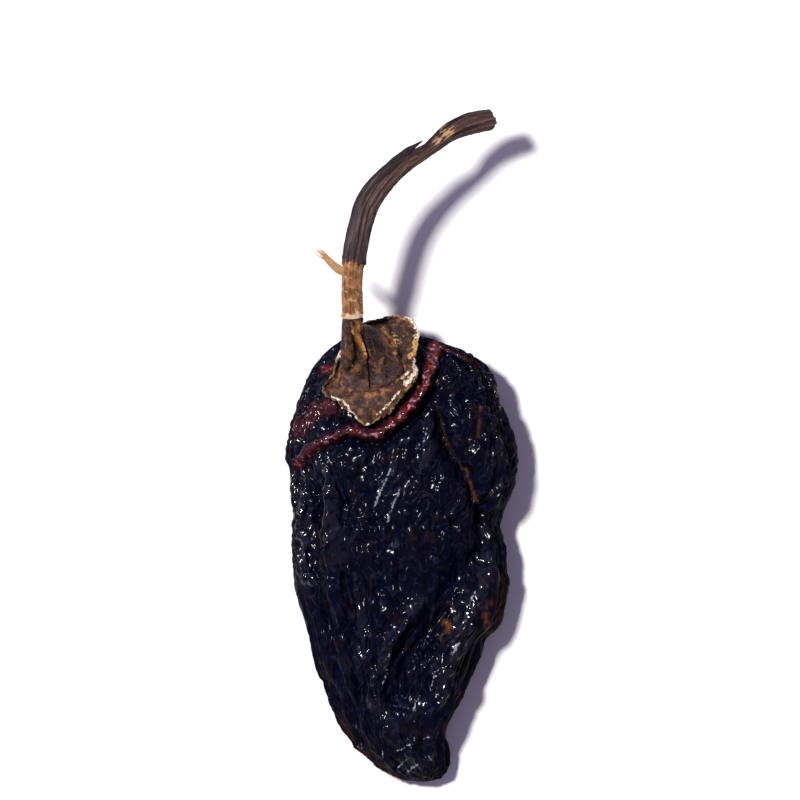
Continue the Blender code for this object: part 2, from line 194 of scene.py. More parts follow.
COLLAR_DITCH = (-1.6, 1.1, ((9.0, 18.4), (7.0, 12.8), (4.2, 8.4), (-0.8, 3.6), (-5.8, 0.7), (-12.0, 1.8),
                            (-17.2, -0.4)))
FOLDS = (COLLAR, SHOULDER_FOLD, SHOULDER_SEAM, LOBE_FURROW, CENTRE_FURROW, CENTRE_CREST, FLAP_CREST, TIP_FOLD,
         LONG_CREASE, SHORT_CREASE, COLLAR_DITCH) + STRANDS
# Folds beside the left edge: share of the width in from it, height, half width.
EDGE_FOLDS = ((0.055, 1.2, 1.3), (0.115, -1.5, 1.2), (0.175, 1.3, 1.7), (0.25, -1.2, 1.5))
EDGE_FOLD_START = -2.0
EDGE_FOLD_END = -71.0

# %% [markdown]
# The helpers below read a smooth curve through rows of numbers, space places evenly along it, and measure how
# far each point is from a fold's line. They work on whole arrays at once, because the pod has nearly a
# hundred thousand points.

# %% Curves through rows, and distance to a line
FINE_STEPS = 401


def smoothstep(low, high, value):
    share = np.clip((value - low) / (high - low), 0, 1)
    return share * share * (3 - 2 * share)


def along(rows, shares, closed=False):
    """The rows at these shares of the way along, on a smooth curve through evenly numbered rows."""
    rows = np.asarray(rows, float)
    count = len(rows)
    place = np.asarray(shares, float) * (count if closed else count - 1)
    first = np.floor(place).astype(int)
    if not closed:
        first = np.clip(first, 0, count - 2)
    t = (place - first)[..., None]
    steps = [first + step for step in (-1, 0, 1, 2)]
    a, b, c, d = (rows[i % count] if closed else rows[np.clip(i, 0, count - 1)] for i in steps)
    square, cube = 2 * a - 5 * b + 4 * c - d, 3 * b - a - 3 * c + d
    return 0.5 * (2 * b + (c - a) * t + square * t ** 2 + cube * t ** 3)


def even_shares(rows, count):
    """Shares along the rows that are an even distance apart on the curve."""
    fine = np.linspace(0, 1, FINE_STEPS)
    steps = np.linalg.norm(np.diff(along(rows, fine), axis=0), axis=1)
    run = np.concatenate(([0.0], np.cumsum(steps)))
    return np.interp(np.linspace(0, run[-1], count), run, fine)


def unit(arrows):
    return arrows / np.linalg.norm(arrows, axis=-1, keepdims=True)


def distance_to_line(points, line):
    """Distance in plan from each point to a line, and the share along the line of the nearest place."""
    line = np.asarray(line, float)
    spans = len(line) - 1
    best = np.full(len(points), 1e9)
    share = np.zeros(len(points))
    for index in range(spans):
        step = line[index + 1] - line[index]
        part = np.clip(((points - line[index]) @ step) / (step @ step), 0, 1)
        away = np.linalg.norm(points - line[index] - part[:, None] * step, axis=1)
        nearer = away < best
        best[nearer] = away[nearer]
        share[nearer] = (index + part[nearer]) / spans
    return best, share


def field(points, size, offset=(0, 0, 0)):
    """Smooth noise from -1 to 1 at each point, with lumps of about this size."""
    shifted = points / size + np.asarray(offset, float)
    return np.array([noise.noise(Vector(p)) for p in shifted])


# %% [markdown]
# Each fold rises or sinks like a bell across its line and fades towards its ends. Beside the left edge four
# folds run parallel to the edge itself, so their lines are worked out from the slices. Crumples and pleats
# are rules as well: sharp crests between soft dents on top, and long pleats round the sides and underneath.

# %% Folds, crumples and pleats
CRUMPLE_HEIGHT = 0.75
CRUMPLE_SIZE = 4.6
CRUMPLE_DRAW = (1, 0.5, 1)  # crumples are drawn out along the pod
CREST_SHARPNESS = 2.6
WANDER = 0.8
WANDER_SIZE = 12.0
WANDER_SHIFTS = ((9.3, -1.5, -8.0), (0.0, 0.0, 0.0), (6.3, 0.2, -2.7))
DENT_HEIGHT = 0.8
DENT_SIZE = 9.0
DENT_SHIFT = (3.7, 1.1, 8.3)
PLEATS = 13
PLEAT_HEIGHT = 1.0
PLEAT_WANDER = 1.5
PLEAT_LENGTH = 24  # length over which the pleats wander
FOLD_POINTS = 25
FOLD_END = 0.12  # share of a fold's line over which it fades
FOLD_LEFT = 0.25  # share of its height that is left at its very end


def edge_fold_line(inset):
    rows = along(POD_SLICES, even_shares(POD_SLICES, 40))
    kept = rows[(rows[:, 0] >= EDGE_FOLD_END) & (rows[:, 0] <= EDGE_FOLD_START)]
    return np.column_stack((kept[:, 1] + inset * (kept[:, 2] - kept[:, 1]), kept[:, 0]))


def fold_height(points):
    steps = np.linspace(0, 1, FOLD_POINTS)
    folds = [(height, width, along(line, steps)) for height, width, line in FOLDS]
    folds += [(height, width, edge_fold_line(inset)) for inset, height, width in EDGE_FOLDS]
    total = np.zeros(len(points))
    for height, width, line in folds:
        away, share = distance_to_line(points[:, :2], line)
        fade = smoothstep(0.0, FOLD_END, share) * smoothstep(0.0, FOLD_END, 1 - share)
        total += height * np.exp(-((away / width) ** 2)) * (FOLD_LEFT + (1 - FOLD_LEFT) * fade)
    return total


def crumple(points):
    wander = np.column_stack([field(points, WANDER_SIZE, shift) for shift in WANDER_SHIFTS])
    drawn = points * CRUMPLE_DRAW / CRUMPLE_SIZE + wander * WANDER
    crest = 1 - CREST_SHARPNESS * np.abs(field(drawn, 1.0))
    return CRUMPLE_HEIGHT * crest + DENT_HEIGHT * field(points, DENT_SIZE, DENT_SHIFT)


def pleat(angle, y):
    round_about = np.column_stack((np.cos(angle), np.sin(angle), y / PLEAT_LENGTH))
    wander = field(round_about, 1.0) * PLEAT_WANDER
    return PLEAT_HEIGHT * (1 - 2 * np.abs(np.sin(PLEATS * angle / 2 + wander)))


# %% [markdown]
# The rings are closer together than the finest wrinkle, and most of their points lie on the upper side, which
# shows. Folds act on the upper side only, crumples are weaker underneath and at the edge, and pleats belong to
# the sides and the underside. Nothing goes below the surface that the chilli lies on.

# %% The pod's surface
POD_RINGS = 340
POD_UPPER = 196
POD_LOWER = 88
UNDERSIDE_CALM = 0.6
EDGE_CALM = 0.6
EDGE_BAND = 0.35  # half height of the band that is calm, as a share of the pod's half height
POD_END = 0.05  # share of the pod's length at each end where folds and wrinkles fade


def power(value):
    return np.sign(value) * np.abs(value) ** (2 / POD_BOXINESS)


def pod_surface():
    """Points of the pod, ring by ring, with the angle and the share along that each point has."""
    angles = np.concatenate((np.linspace(0, math.pi, POD_UPPER, endpoint=False),
                             np.linspace(math.pi, 2 * math.pi, POD_LOWER, endpoint=False)))
    shares = np.repeat(even_shares(POD_SLICES, POD_RINGS), len(angles))
    angle = np.tile(angles, POD_RINGS)
    y, left, right, under, top = along(POD_SLICES, shares).T
    across, up = np.cos(angle), np.sin(angle)
    half_width, half_height = (right - left) / 2, (top - under) / 2
    base = np.column_stack(((left + right) / 2 + half_width * power(across), y,
                            (under + top) / 2 + half_height * power(up)))
    out = unit(np.column_stack((across / half_width, np.zeros(len(y)), up / half_height)))
    faces_up = smoothstep(-0.1, 0.5, up)
    calm = UNDERSIDE_CALM + (1 - UNDERSIDE_CALM) * faces_up
    calm[np.abs(up) < EDGE_BAND] *= EDGE_CALM
    end = smoothstep(0.0, POD_END, shares) * smoothstep(0.0, POD_END, 1 - shares)
    sides = 1 - smoothstep(0.25, 0.75, up)
    lift = fold_height(base) * faces_up + crumple(base) * calm + pleat(angle, y) * sides
    moved = base + out * (lift * end)[:, None]
    moved[:, 2] = np.maximum(moved[:, 2], 0)
    return moved, angle, shares


POD_POINTS, POD_ANGLE, POD_SHARE = pod_surface()
print("pod points:", len(POD_POINTS), "top, mm:", round(float(POD_POINTS[:, 2].max()), 1))

# %% [markdown]
# ## Where the pod changes
# Colour on the pod follows its folds: the collar round the calyx is maroon, thin edges and a few fold lines
# are rusty, some creases and crests carry painted grey highlights, and the rest is near black. The gloss is
# strongest on the crests that face the lamp. The skin is calm and flat beside the left edge, and lively on the
# ridges. A paint mask could say all this, but a mask drawn by hand goes wrong as soon as the form changes. So
# each point gets its shares from how near it is to the lines where the real pod has them.

# %% Lines of colour, gloss and wrinkles
MAROON_LINES = (  # strength, width and line of each place, here and in the tables below
    (1.0, 0.95, COLLAR[2][:5]),
    (0.6, 0.9, COLLAR[2][4:]),
    (0.4, 1.6, SHOULDER_FOLD[2]),
    (0.5, 0.30, SHOULDER_SEAM[2]),
    (0.7, 0.9, ((-18.4, 18.2), (-15.6, 18.2))),
)
RUST_LINES = (
    (0.25, 0.32, ((8.0, 9.4), (10.3, 1.0), (14.6, -6.0))),
    (0.8, 0.35, ((14.6, -5.0), (16.0, -9.4), (17.4, -13.0))),
    (0.4, 0.40, ((17.9, 9.2), (17.5, 2.4))),
    (1.0, 0.65, ((9.9, -41.0), (11.2, -42.0), (10.6, -43.2))),
    (0.6, 0.40, ((9.0, -44.6), (8.5, -46.0))),
    (0.55, 0.8, ((23.4, -31.0), (23.2, -35.5), (22.0, -41.5))),
    (0.55, 0.8, ((20.2, -36.5), (19.0, -40.0), (20.4, -43.0))),
    (0.4, 0.7, ((14.0, -57.6), (12.8, -62.6), (10.2, -66.6))),
    (0.28, 0.34, ((-15.2, -63.0), (-9.8, -71.5), (-2.6, -77.2), (4.6, -79.2))),
)
CALM_LINES = (
    (1.0, 5.5, ((-24.0, -34.0), (-20.0, -48.0), (-14.5, -61.0), (-7.0, -71.5))),
    (0.7, 4.5, ((-3.0, -8.0), (1.5, -20.0), (3.0, -32.0))),
    (0.8, 3.0, ((23.5, 4.0), (24.5, -10.0), (23.5, -30.0), (19.0, -46.0), (12.0, -66.0))),
    (1.0, 3.5, ((-3.0, -78.5), (5.5, -79.5), (9.5, -75.0))),
    (0.4, 1.2, COLLAR[2]),
    (0.8, 2.5, ((9.5, 12.0), (5.0, 5.0), (-2.0, 0.5))),
)
LIVELY_LINES = (
    (1.0, 4.0, ((-23.0, -3.0), (-20.5, -30.0))),
    (0.6, 3.0, SHOULDER_FOLD[2]),
    (0.8, 3.5, ((15.0, 23.0), (20.0, 14.0), (21.0, 4.0))),
    (0.6, 2.5, ((17.5, -36.0), (12.5, -46.0), (9.5, -58.0))),
    (0.5, 2.6, ((-1.0, -73.5), (4.5, -71.0))),
)
SHINY_LINES = (
    (1.0, 4.2, ((-24.0, -1.0), (-23.0, -30.0))),
    (1.0, 3.4, ((-19.0, 0.0), (-15.5, -26.0))),
    (0.7, 2.4, ((-13.0, -50.0), (-7.0, -60.0), (0.0, -68.0))),
    (1.0, 2.2, ((-12.5, -34.0), (-9.0, -42.0), (-10.5, -50.0))),
    (1.0, 1.8, CENTRE_CREST[2]),
    (1.0, 2.6, ((19.5, -25.0), (17.5, -36.0), (12.5, -45.0), (9.5, -58.0))),
    (1.0, 1.0, ((4.8, -59.5), (1.5, -63.5))),
    (0.7, 3.2, ((-1.0, -74.5), (3.0, -73.5), (6.0, -69.5))),
    (0.55, 2.8, ((15.0, 23.0), (20.0, 16.0), (22.5, 6.0), (21.0, -5.0))),
    (1.0, 1.8, ((7.0, 4.0), (5.0, -4.0))),
    (1.0, 0.7, LONG_CREASE[2]),
    (1.0, 0.7, SHORT_CREASE[2]),
    (1.0, 1.4, COLLAR[2]),
    (0.9, 2.0, SHOULDER_FOLD[2]),
)
# Painted highlights: short grey streaks on creases and crests, where glints fall under the lamp.
PAINTED_GLINT_LINES = (
    (1.0, 0.28, LONG_CREASE[2][1:]),
    (1.0, 0.26, SHORT_CREASE[2]),
) + tuple((0.75, width, (start, end)) for width, start, end in (
    (0.32, (3.8, -58.3), (2.4, -61.6)),
    (0.30, (-3.1, -48.2), (-5.2, -50.6)),
    (0.30, (-3.8, -51.9), (-4.9, -55.3)),
    (0.30, (17.2, -33.2), (15.4, -36.8)),
    (0.26, (7.4, -53.1), (6.7, -56.0)),
    (0.50, (13.0, -45.8), (11.6, -48.5)),
    (0.26, (5.6, 4.5), (4.6, 0.2)),
    (0.26, (-17.4, -3.1), (-18.6, -5.6)),
    (0.30, (-1.2, -71.2), (2.0, -69.7)),
    (0.30, (4.9, -68.3), (7.0, -67.9)),
    (0.35, (-1.2, -75.4), (0.9, -73.3)),
    (0.35, (1.3, -76.1), (3.5, -74.4)),
    (0.30, (5.6, -72.1), (6.5, -73.3)),
    (0.26, (-4.8, -71.2), (-4.7, -72.9)),
))
LEAST_SHINE = 0.18
MIDWAY = (-0.19, 0.12, 0.97)  # half way between straight up and the lamp
FLANK_CALM = 0.8
NARROW = (30.0, 6.0)  # widths between which the pod's narrow ends become calm

# %% [markdown]
# The share of a place falls off like a bell on both sides of its line. Each table becomes one value for every
# point, and the gloss is cut off where the skin turns away from the lamp.


# %% Values for every point of the pod
def nearness(points, lines):
    found = np.zeros(len(points))
    for strength, width, line in lines:
        away, _ = distance_to_line(points[:, :2], line)
        found = np.maximum(found, strength * np.exp(-((away / width) ** 2)))
    return found


def faces_lamp(points, columns):
    """1 where the pod faces half way between straight up and the lamp, falling to 0 on its steep sides."""
    grid = points.reshape(-1, columns, 3)
    round_about = np.roll(grid, -1, 1) - np.roll(grid, 1, 1)
    normal = unit(np.cross(round_about, np.gradient(grid, axis=0)).reshape(-1, 3))
    outward = np.column_stack((np.cos(POD_ANGLE), np.zeros(len(normal)), np.sin(POD_ANGLE)))
    normal *= np.sign((normal * outward).sum(1))[:, None]
    return smoothstep(0.4, 0.75, normal @ unit(np.array(MIDWAY)))


FACES_UP = smoothstep(-0.3, 0.2, np.sin(POD_ANGLE))
FACES_LAMP = faces_lamp(POD_POINTS, POD_UPPER + POD_LOWER)
POD_MAROON = nearness(POD_POINTS, MAROON_LINES) * FACES_UP
POD_RUST = nearness(POD_POINTS, RUST_LINES) * FACES_UP
POD_SHINE = np.maximum(nearness(POD_POINTS, SHINY_LINES), LEAST_SHINE) * FACES_LAMP
# painted highlight: share of the grey glint streaks
POD_PAINTED_GLINT = nearness(POD_POINTS, PAINTED_GLINT_LINES) * FACES_UP
POD_WIDTH = np.diff(along(POD_SLICES, POD_SHARE)[:, 1:3], axis=1)[:, 0]
ON_FLANK = smoothstep(0.55, 0.15, np.abs(np.sin(POD_ANGLE)))
POD_CALM = np.maximum(nearness(POD_POINTS, CALM_LINES), smoothstep(*NARROW, POD_WIDTH))
POD_CALM = np.maximum(POD_CALM, FLANK_CALM * ON_FLANK) - nearness(POD_POINTS, LIVELY_LINES)
print("maroon points:", int((POD_MAROON > 0.5).sum()), "rusty points:", int((POD_RUST > 0.5).sum()))

# %% [markdown]
# Every ring-shaped form in this file becomes a mesh in the same way: four-sided faces between neighbouring
# rings, and a pole that closes each end. Values that belong to the points, such as the maroon share, are
# stored on the mesh as named attributes, so that trees and materials can read them.


# %% Meshes from rings
def tube_faces(columns, rings):
    row, column = np.meshgrid(np.arange(rings - 1), np.arange(columns), indexing="ij")
    after = (column + 1) % columns
    quads = np.stack((row * columns + column, row * columns + after,
                      (row + 1) * columns + after, (row + 1) * columns + column), axis=-1).reshape(-1, 4)
    first, second = np.arange(columns), (np.arange(columns) + 1) % columns
    start, end = rings * columns, rings * columns + 1
    last = (rings - 1) * columns
    caps = [(start, int(b), int(a)) for a, b in zip(first, second)]
    caps += [(end, int(a), int(b)) for a, b in zip(first + last, second + last)]
    return [tuple(map(int, quad)) for quad in quads] + caps


def tube_object(name, points, columns, values=None):
    """A closed object from rings of points in millimetres, with named values on its points."""
    rings = len(points) // columns
    ends = np.array([points[:columns].mean(0), points[-columns:].mean(0)])
    mesh = bpy.data.meshes.new(name)
    mesh.from_pydata(np.vstack((points, ends)) * MM, [], tube_faces(columns, rings))
    for label, value in (values or {}).items():
        value = np.asarray(value, float)
        full = np.concatenate((value, [value[:columns].mean(0), value[-columns:].mean(0)]))
        kind = "FLOAT_VECTOR" if full.ndim == 2 else "FLOAT"
        data = mesh.attributes.new(label, kind, "POINT").data
        data.foreach_set("vector" if full.ndim == 2 else "value", full.astype(np.float32).ravel())
    mesh.shade_smooth()
    return show(name, mesh)


def centred(points):
    """Moves points in plan as the solids were moved."""
    return points + (PLAN_SHIFT[0], PLAN_SHIFT[1], 0)


# %% [markdown]
# ## Node helpers
# Trees for shapes and for materials are built with the same few helpers. A node's result is wrapped in a
# small class, so that sums and products are written as plain arithmetic, and each operation adds its node.
# Links could be drawn one by one, but then a formula of five terms takes ten lines and nobody can read it.


# %% Results of nodes
class Value:
    """What a node gives out; arithmetic with it adds nodes to its tree."""

    def __init__(self, tree, socket):
        self.tree = tree
        self.socket = socket

    def __add__(self, other):
        return maths("ADD", self, other)

    def __sub__(self, other):
        return maths("SUBTRACT", self, other)

    def __rsub__(self, other):
        return maths("SUBTRACT", other, self)

    def __mul__(self, other):
        return maths("MULTIPLY", self, other)

    def __truediv__(self, other):
        return maths("DIVIDE", self, other)

    def __rtruediv__(self, other):
        return maths("DIVIDE", other, self)

    def __abs__(self):
        return maths("ABSOLUTE", self)

    __radd__ = __add__


def tree_of(values):
    return next(value.tree for value in values if isinstance(value, Value))


def fill(tree, socket, value):
    """Links a socket to a node's result, or gives it a plain value."""
    if isinstance(value, Value):
        tree.links.new(value.socket, socket)
    else:
        socket.default_value = value


def add(tree, kind, inputs=None, **settings):
    made = tree.nodes.new(kind)
    for key, value in settings.items():
        setattr(made, key, value)
    for socket, value in (inputs or {}).items():
        fill(tree, made.inputs[socket], value)
    return made


def result(tree, kind, inputs=None, output=0, **settings):
    return Value(tree, add(tree, kind, inputs, **settings).outputs[output])


# %% [markdown]
# The operations that the trees below use again and again: arithmetic, steps, noise, and noise folded at its
# middle value, which has sharp crests where plain noise has none.


# %% Operations
def maths(operation, *values):
    return result(tree_of(values), "ShaderNodeMath", dict(enumerate(values)), operation=operation)


def vectors(operation, *values, output=0):
    inputs = dict(enumerate(values))
    return result(tree_of(values), "ShaderNodeVectorMath", inputs, output, operation=operation)


def scaled(vector, amount):
    return result(vector.tree, "ShaderNodeVectorMath", {0: vector, "Scale": amount}, operation="SCALE")


def joined(x, y, z):
    return result(tree_of((x, y, z)), "ShaderNodeCombineXYZ", {0: x, 1: y, 2: z})


def part_of(vector, index):
    return result(vector.tree, "ShaderNodeSeparateXYZ", {0: vector}, index)


def ramp(value, low, high, start=0.0, end=1.0):
    """A smooth step from start to end while the value goes from low to high."""
    inputs = {"Value": value, "From Min": low, "From Max": high, "To Min": start, "To Max": end}
    return result(value.tree, "ShaderNodeMapRange", inputs, interpolation_type="SMOOTHSTEP")


def noise_in(place, size, detail=2.0, roughness=0.5, output=0):
    inputs = {"Vector": place, "Scale": 1 / size, "Detail": detail, "Roughness": roughness}
    return result(place.tree, "ShaderNodeTexNoise", inputs, output)


def folded_noise(place, size, detail=0.0):
    """Noise folded at its middle value: 0 on a line, rising to both sides."""
    return abs(noise_in(place, size, detail) - 0.5)


def patches(place, size, detail, low, high, start=0.0, end=1.0):
    """Soft patches: a smooth step of noise."""
    return ramp(noise_in(place, size, detail), low, high, start, end)


def hump(value, width):
    """1 where the value is 0, falling to 0 a few widths away."""
    ratio = value / width
    return maths("EXPONENT", ratio * ratio * -1.0)


# %% [markdown]
# A shape tree takes a piece and a material, reads the values stored on the piece, moves its points and
# hands back plain geometry. Its sizes are named inputs, so that one tree serves several pieces. They are set
# by each socket's identifier before anything is evaluated.


# %% Build and run shape trees
def shape_tree(name, sizes):
    tree = bpy.data.node_groups.new(name, "GeometryNodeTree")
    tree.interface.new_socket("Geometry", in_out="INPUT", socket_type="NodeSocketGeometry")
    for label, value in sizes.items():
        socket = tree.interface.new_socket(label, in_out="INPUT", socket_type="NodeSocketFloat")
        socket.default_value = value
    tree.interface.new_socket("Material", in_out="INPUT", socket_type="NodeSocketMaterial")
    tree.interface.new_socket("Geometry", in_out="OUTPUT", socket_type="NodeSocketGeometry")
    return tree, {socket.name: Value(tree, socket) for socket in tree.nodes.new("NodeGroupInput").outputs}


def end_tree(shape, finish):
    """Ends a shape tree with real geometry that carries its material."""
    real = result(shape.tree, "GeometryNodeRealizeInstances", {"Geometry": shape})
    dressed = result(shape.tree, "GeometryNodeSetMaterial", {"Geometry": real, "Material": finish})
    add(shape.tree, "NodeGroupOutput", {"Geometry": dressed})
    return shape.tree


def named(tree, label, kind="FLOAT"):
    return result(tree, "GeometryNodeInputNamedAttribute", {"Name": label}, data_type=kind)


def store(shape, label, value, kind="FLOAT"):
    inputs = {"Geometry": shape, "Name": label, "Value": value}
    return result(shape.tree, "GeometryNodeStoreNamedAttribute", inputs, data_type=kind, domain="POINT")


def lifted(shape, millimetres):
    """A shape with its points moved outwards along their normals."""
    offset = scaled(result(shape.tree, "GeometryNodeInputNormal"), millimetres * MM)
    return result(shape.tree, "GeometryNodeSetPosition", {"Geometry": shape, "Offset": offset})


def run_tree(tree, obj, finish, **sizes):
    """Runs a tree on an object and leaves the result as the object's plain mesh."""
    modifier = obj.modifiers.new(tree.name, "NODES")
    modifier.node_group = tree
    values = {label.replace("_", " ").capitalize(): value for label, value in sizes.items()}
    values["Material"] = finish
    for item in tree.interface.items_tree:
        if item.in_out == "INPUT" and item.name in values:
            modifier[item.identifier] = values[item.name]
    graph = bpy.context.evaluated_depsgraph_get()
    evaluated = obj.evaluated_get(graph)
    mesh = bpy.data.meshes.new_from_object(evaluated, preserve_all_data_layers=True, depsgraph=graph)
    name = obj.name
    bpy.data.objects.remove(obj)
    made = show(name, mesh)
    mesh.shade_smooth()
    print(name, "faces:", len(mesh.polygons))
    return made


# %% [markdown]
# ## Wrinkles
# Skin that dries on a shrinking pod buckles: narrow crests meet in a net, with smooth dents between them,
# and finer creases run over both. Cloth simulation can make such skin, but it is slow and hard to steer.
# Here the net is a cell pattern whose borders are lifted, the creases are folded noise, and both are first
# pushed about so that no line stays straight. They are laid out along the pod and round it, so that they run
# together at the tip, as the real ones do. The crest height is kept for the material. Calm places get lower
# wrinkles and lively ones higher.

# %% The wrinkle tree
FLOW_RADIUS = 17.0
FLOW_PACE = ((-80.0, 0.36), (-42.0, 0.34), (-22.0, 0.55), (30.0, 0.62))  # y, and the patterns' pace there
LIVELY_SIZE = 1 / 0.09  # size of the areas with high and with low wrinkles
PATTERN_MIDDLE = 0.4


def flow_coordinates():
    """A place for each point round and along the pod, in millimetres, for patterns that follow the skin."""
    radius = np.sqrt(FLOW_RADIUS * np.maximum(POD_WIDTH, 1.0) / 2)
    steps = np.linspace(FLOW_PACE[0][0], FLOW_PACE[-1][0], 400)
    run = np.cumsum(np.interp(steps, *zip(*FLOW_PACE))) * (steps[1] - steps[0])
    return np.column_stack((radius * np.cos(POD_ANGLE), np.interp(POD_POINTS[:, 1], steps, run),
                            radius * np.sin(POD_ANGLE)))


def pushed(place, size, reach):
    """The same places, pushed about by up to reach so that a pattern read there wanders."""
    middle = vectors("SUBTRACT", noise_in(place, size, output="Color"), (0.5, 0.5, 0.5))
    return vectors("ADD", place, scaled(middle, reach))


def net(place, size):
    """1 on the borders of a cell pattern, falling to 0 inside each cell."""
    inputs = {"Vector": vectors("DIVIDE", place, joined(size, size, size)), "Scale": 1.0}
    away = result(place.tree, "ShaderNodeTexVoronoi", inputs, "Distance", feature="DISTANCE_TO_EDGE")
    return ramp(away, 0.0, 0.34, 1.0, 0.0)


def creases(place, size, detail):
    """1 on the crests of folded noise, and lower away from them."""
    return 1.0 - folded_noise(vectors("DIVIDE", place, joined(size, size, size)), 1.0, detail) * 6.0


def wrinkle_tree():
    sizes = {"Net height": 0.75, "Net size": 3.0, "Crease height": 0.55, "Crease size": 1.8,
             "Fine height": 0.16, "Fine size": 0.9}
    tree, given = shape_tree("wrinkles", sizes)
    flow = named(tree, "flow", "FLOAT_VECTOR")
    place = pushed(pushed(flow, 9.0, 7.0), 2.6, 1.5)
    parts = (
        (net(place, given["Net size"]), given["Net height"]),
        (creases(place, given["Crease size"], 1.0), given["Crease height"]),
        (creases(place, given["Fine size"], 1.0), given["Fine height"]),
    )
    total = sum((pattern - PATTERN_MIDDLE) * height for pattern, height in parts)
    lively = patches(flow, LIVELY_SIZE, 1.0, 0.35, 0.62, 0.45, 1.0)
    lively = lively * ramp(named(tree, "calm"), -1.0, 1.0, 1.6, 0.4)
    kept = store(given["Geometry"], "crest", total / given["Net height"])
    moved = lifted(kept, total * lively)
    x, y, z = (part_of(result(tree, "GeometryNodeInputPosition"), index) for index in range(3))
    above = {"Geometry": moved, "Position": joined(x, y, maths("MAXIMUM", z, 0.0))}
    return end_tree(result(tree, "GeometryNodeSetPosition", above), given["Material"])


# %% [markdown]
# ## Materials
# Each material starts from its own object's coordinates in millimetres, or from the places stored on the
# piece, and ends in one shader. Only colour, roughness, coat and bump change from place to place.


# %% Material helpers
def new_material(name):
    made = bpy.data.materials.new(name)
    made.use_nodes = True
    place = result(made.node_tree, "ShaderNodeTexCoord", output="Object")
    return made, scaled(place, 1 / MM)


def value_of(tree, label, output="Fac"):
    return result(tree, "ShaderNodeAttribute", output=output, attribute_name=label)


def mixed(share, first, second):
    """A colour between two colours; a plain one is its red, green and blue."""
    values = (share, first, second)
    tree = tree_of(values)
    made = add(tree, "ShaderNodeMix", data_type="RGBA")
    sockets = [socket for socket in made.inputs if socket.enabled]
    for socket, value in zip(sockets, values):
        fill(tree, socket, (*value, 1.0) if isinstance(value, tuple) else value)
    return Value(tree, next(socket for socket in made.outputs if socket.enabled))


def bumped(height, distance, strength=1.0):
    inputs = {"Height": height, "Distance": distance * MM, "Strength": strength}
    return result(height.tree, "ShaderNodeBump", inputs)


def finished(made, inputs):
    """Fills the shader's inputs and gives the material back."""
    shader = made.node_tree.nodes["Principled BSDF"]
    for label, value in inputs.items():
        fill(made.node_tree, shader.inputs[label], value)
    print(made.name, "nodes:", len(made.node_tree.nodes))
    return made


# %% [markdown]
# ## The pod's skin
# Up close the skin is almost black, with blue-black and plum patches, a waxy gloss that changes from place
# to place, and fine ridges painted a lighter blue as a sheen. Crests are worn redder, the collar is maroon
# with painted pale pink highlights, and a few creases and crests have painted grey highlights. A single dark
# colour would look like plastic, so each of these is laid over the last one with its own mask.

# %% Skin material
BLUE_BLACK = (0.0009, 0.0018, 0.0078)
PLUM_BLACK = (0.0021, 0.0017, 0.0062)
# painted sheen: the blue of reflected light on the fine ridges
RIDGE_SHEEN_PAINT = (0.0100, 0.0130, 0.0320)
WORN_CREST = (0.014, 0.0060, 0.0068)
DEEP_MAROON = (0.070, 0.011, 0.014)
BRIGHT_MAROON = (0.230, 0.022, 0.020)
# painted highlight: pale pink strokes on the collar
PINK_PAINTED_HIGHLIGHT = (0.50, 0.27, 0.29)
RUST = (0.110, 0.040, 0.012)
# painted highlight: grey glint streaks
GREY_PAINTED_GLINT = (0.270, 0.285, 0.325)


def pod_skin():
    made, place = new_material("pod_skin")
    tree = place.tree
    flow = value_of(tree, "flow", "Vector")
    maroon, rust, painted_glint = (value_of(tree, label) for label in ("maroon", "rust", "painted_glint"))
    colour = mixed(patches(place, 7.0, 3.0, 0.38, 0.62), BLUE_BLACK, PLUM_BLACK)
    ridges = folded_noise(flow, 1.2)
    # painted sheen: fine ridges lightened to blue where reflected light would lie
    painted_ridge_sheen = ramp(ridges, 0.01, 0.06, 1.0, 0.0) * patches(place, 1.8, 2.0, 0.42, 0.60, 0.0, 0.7)
    colour = mixed(painted_ridge_sheen, colour, RIDGE_SHEEN_PAINT)
    worn = ramp(value_of(tree, "crest"), 0.15, 0.75) * patches(place, 4.0, 2.0, 0.5, 0.75, 0.0, 0.7)
    colour = mixed(worn, colour, WORN_CREST)
    red = mixed(patches(place, 0.8, 2.0, 0.4, 0.6), DEEP_MAROON, BRIGHT_MAROON)
    colour = mixed(maroon * patches(place, 1.4, 2.0, 0.38, 0.58, 0.4, 1.0), colour, red)
    # painted highlight: pale pink strokes where the collar is maroon
    painted_collar_highlight = patches(place, 1.1, 3.0, 0.56, 0.66) * ramp(maroon, 0.1, 0.9, 0.0, 0.8)
    colour = mixed(painted_collar_highlight, colour, PINK_PAINTED_HIGHLIGHT)
    colour = mixed(rust * patches(place, 1.6, 2.0, 0.32, 0.5), colour, RUST)
    torn = (noise_in(place, 0.8, 3.0) - 0.5) * 2.0
    # painted highlight: grey glint streaks along the listed lines, broken up by noise
    colour = mixed(ramp(painted_glint + torn, 0.45, 0.85) * ramp(painted_glint, 0.1, 0.4), colour, GREY_PAINTED_GLINT)
    pores = ridges * -3.0 + folded_noise(flow, 0.6) * -0.3
    pores = pores * ramp(value_of(tree, "calm"), 0.0, 1.0, 1.0, 0.4)
    return finished(made, {
        "Base Color": colour,
        "Roughness": patches(place, 5.0, 3.0, 0.35, 0.65, 0.34, 0.46),
        "Coat Weight": value_of(tree, "shine") * patches(place, 2.5, 2.0, 0.36, 0.50, 0.2, 1.0),
        "Normal": bumped(pores, 0.33),
        "Coat Roughness": 0.15,
        "Coat Tint": (0.86, 0.92, 1.0, 1),
        "Specular IOR Level": 0.02,
        "Specular Tint": (0.62, 0.74, 1.0, 1),
    })


# %% [markdown]
# The pod's rings become a mesh that carries its values, and the wrinkle tree turns it into the finished pod.


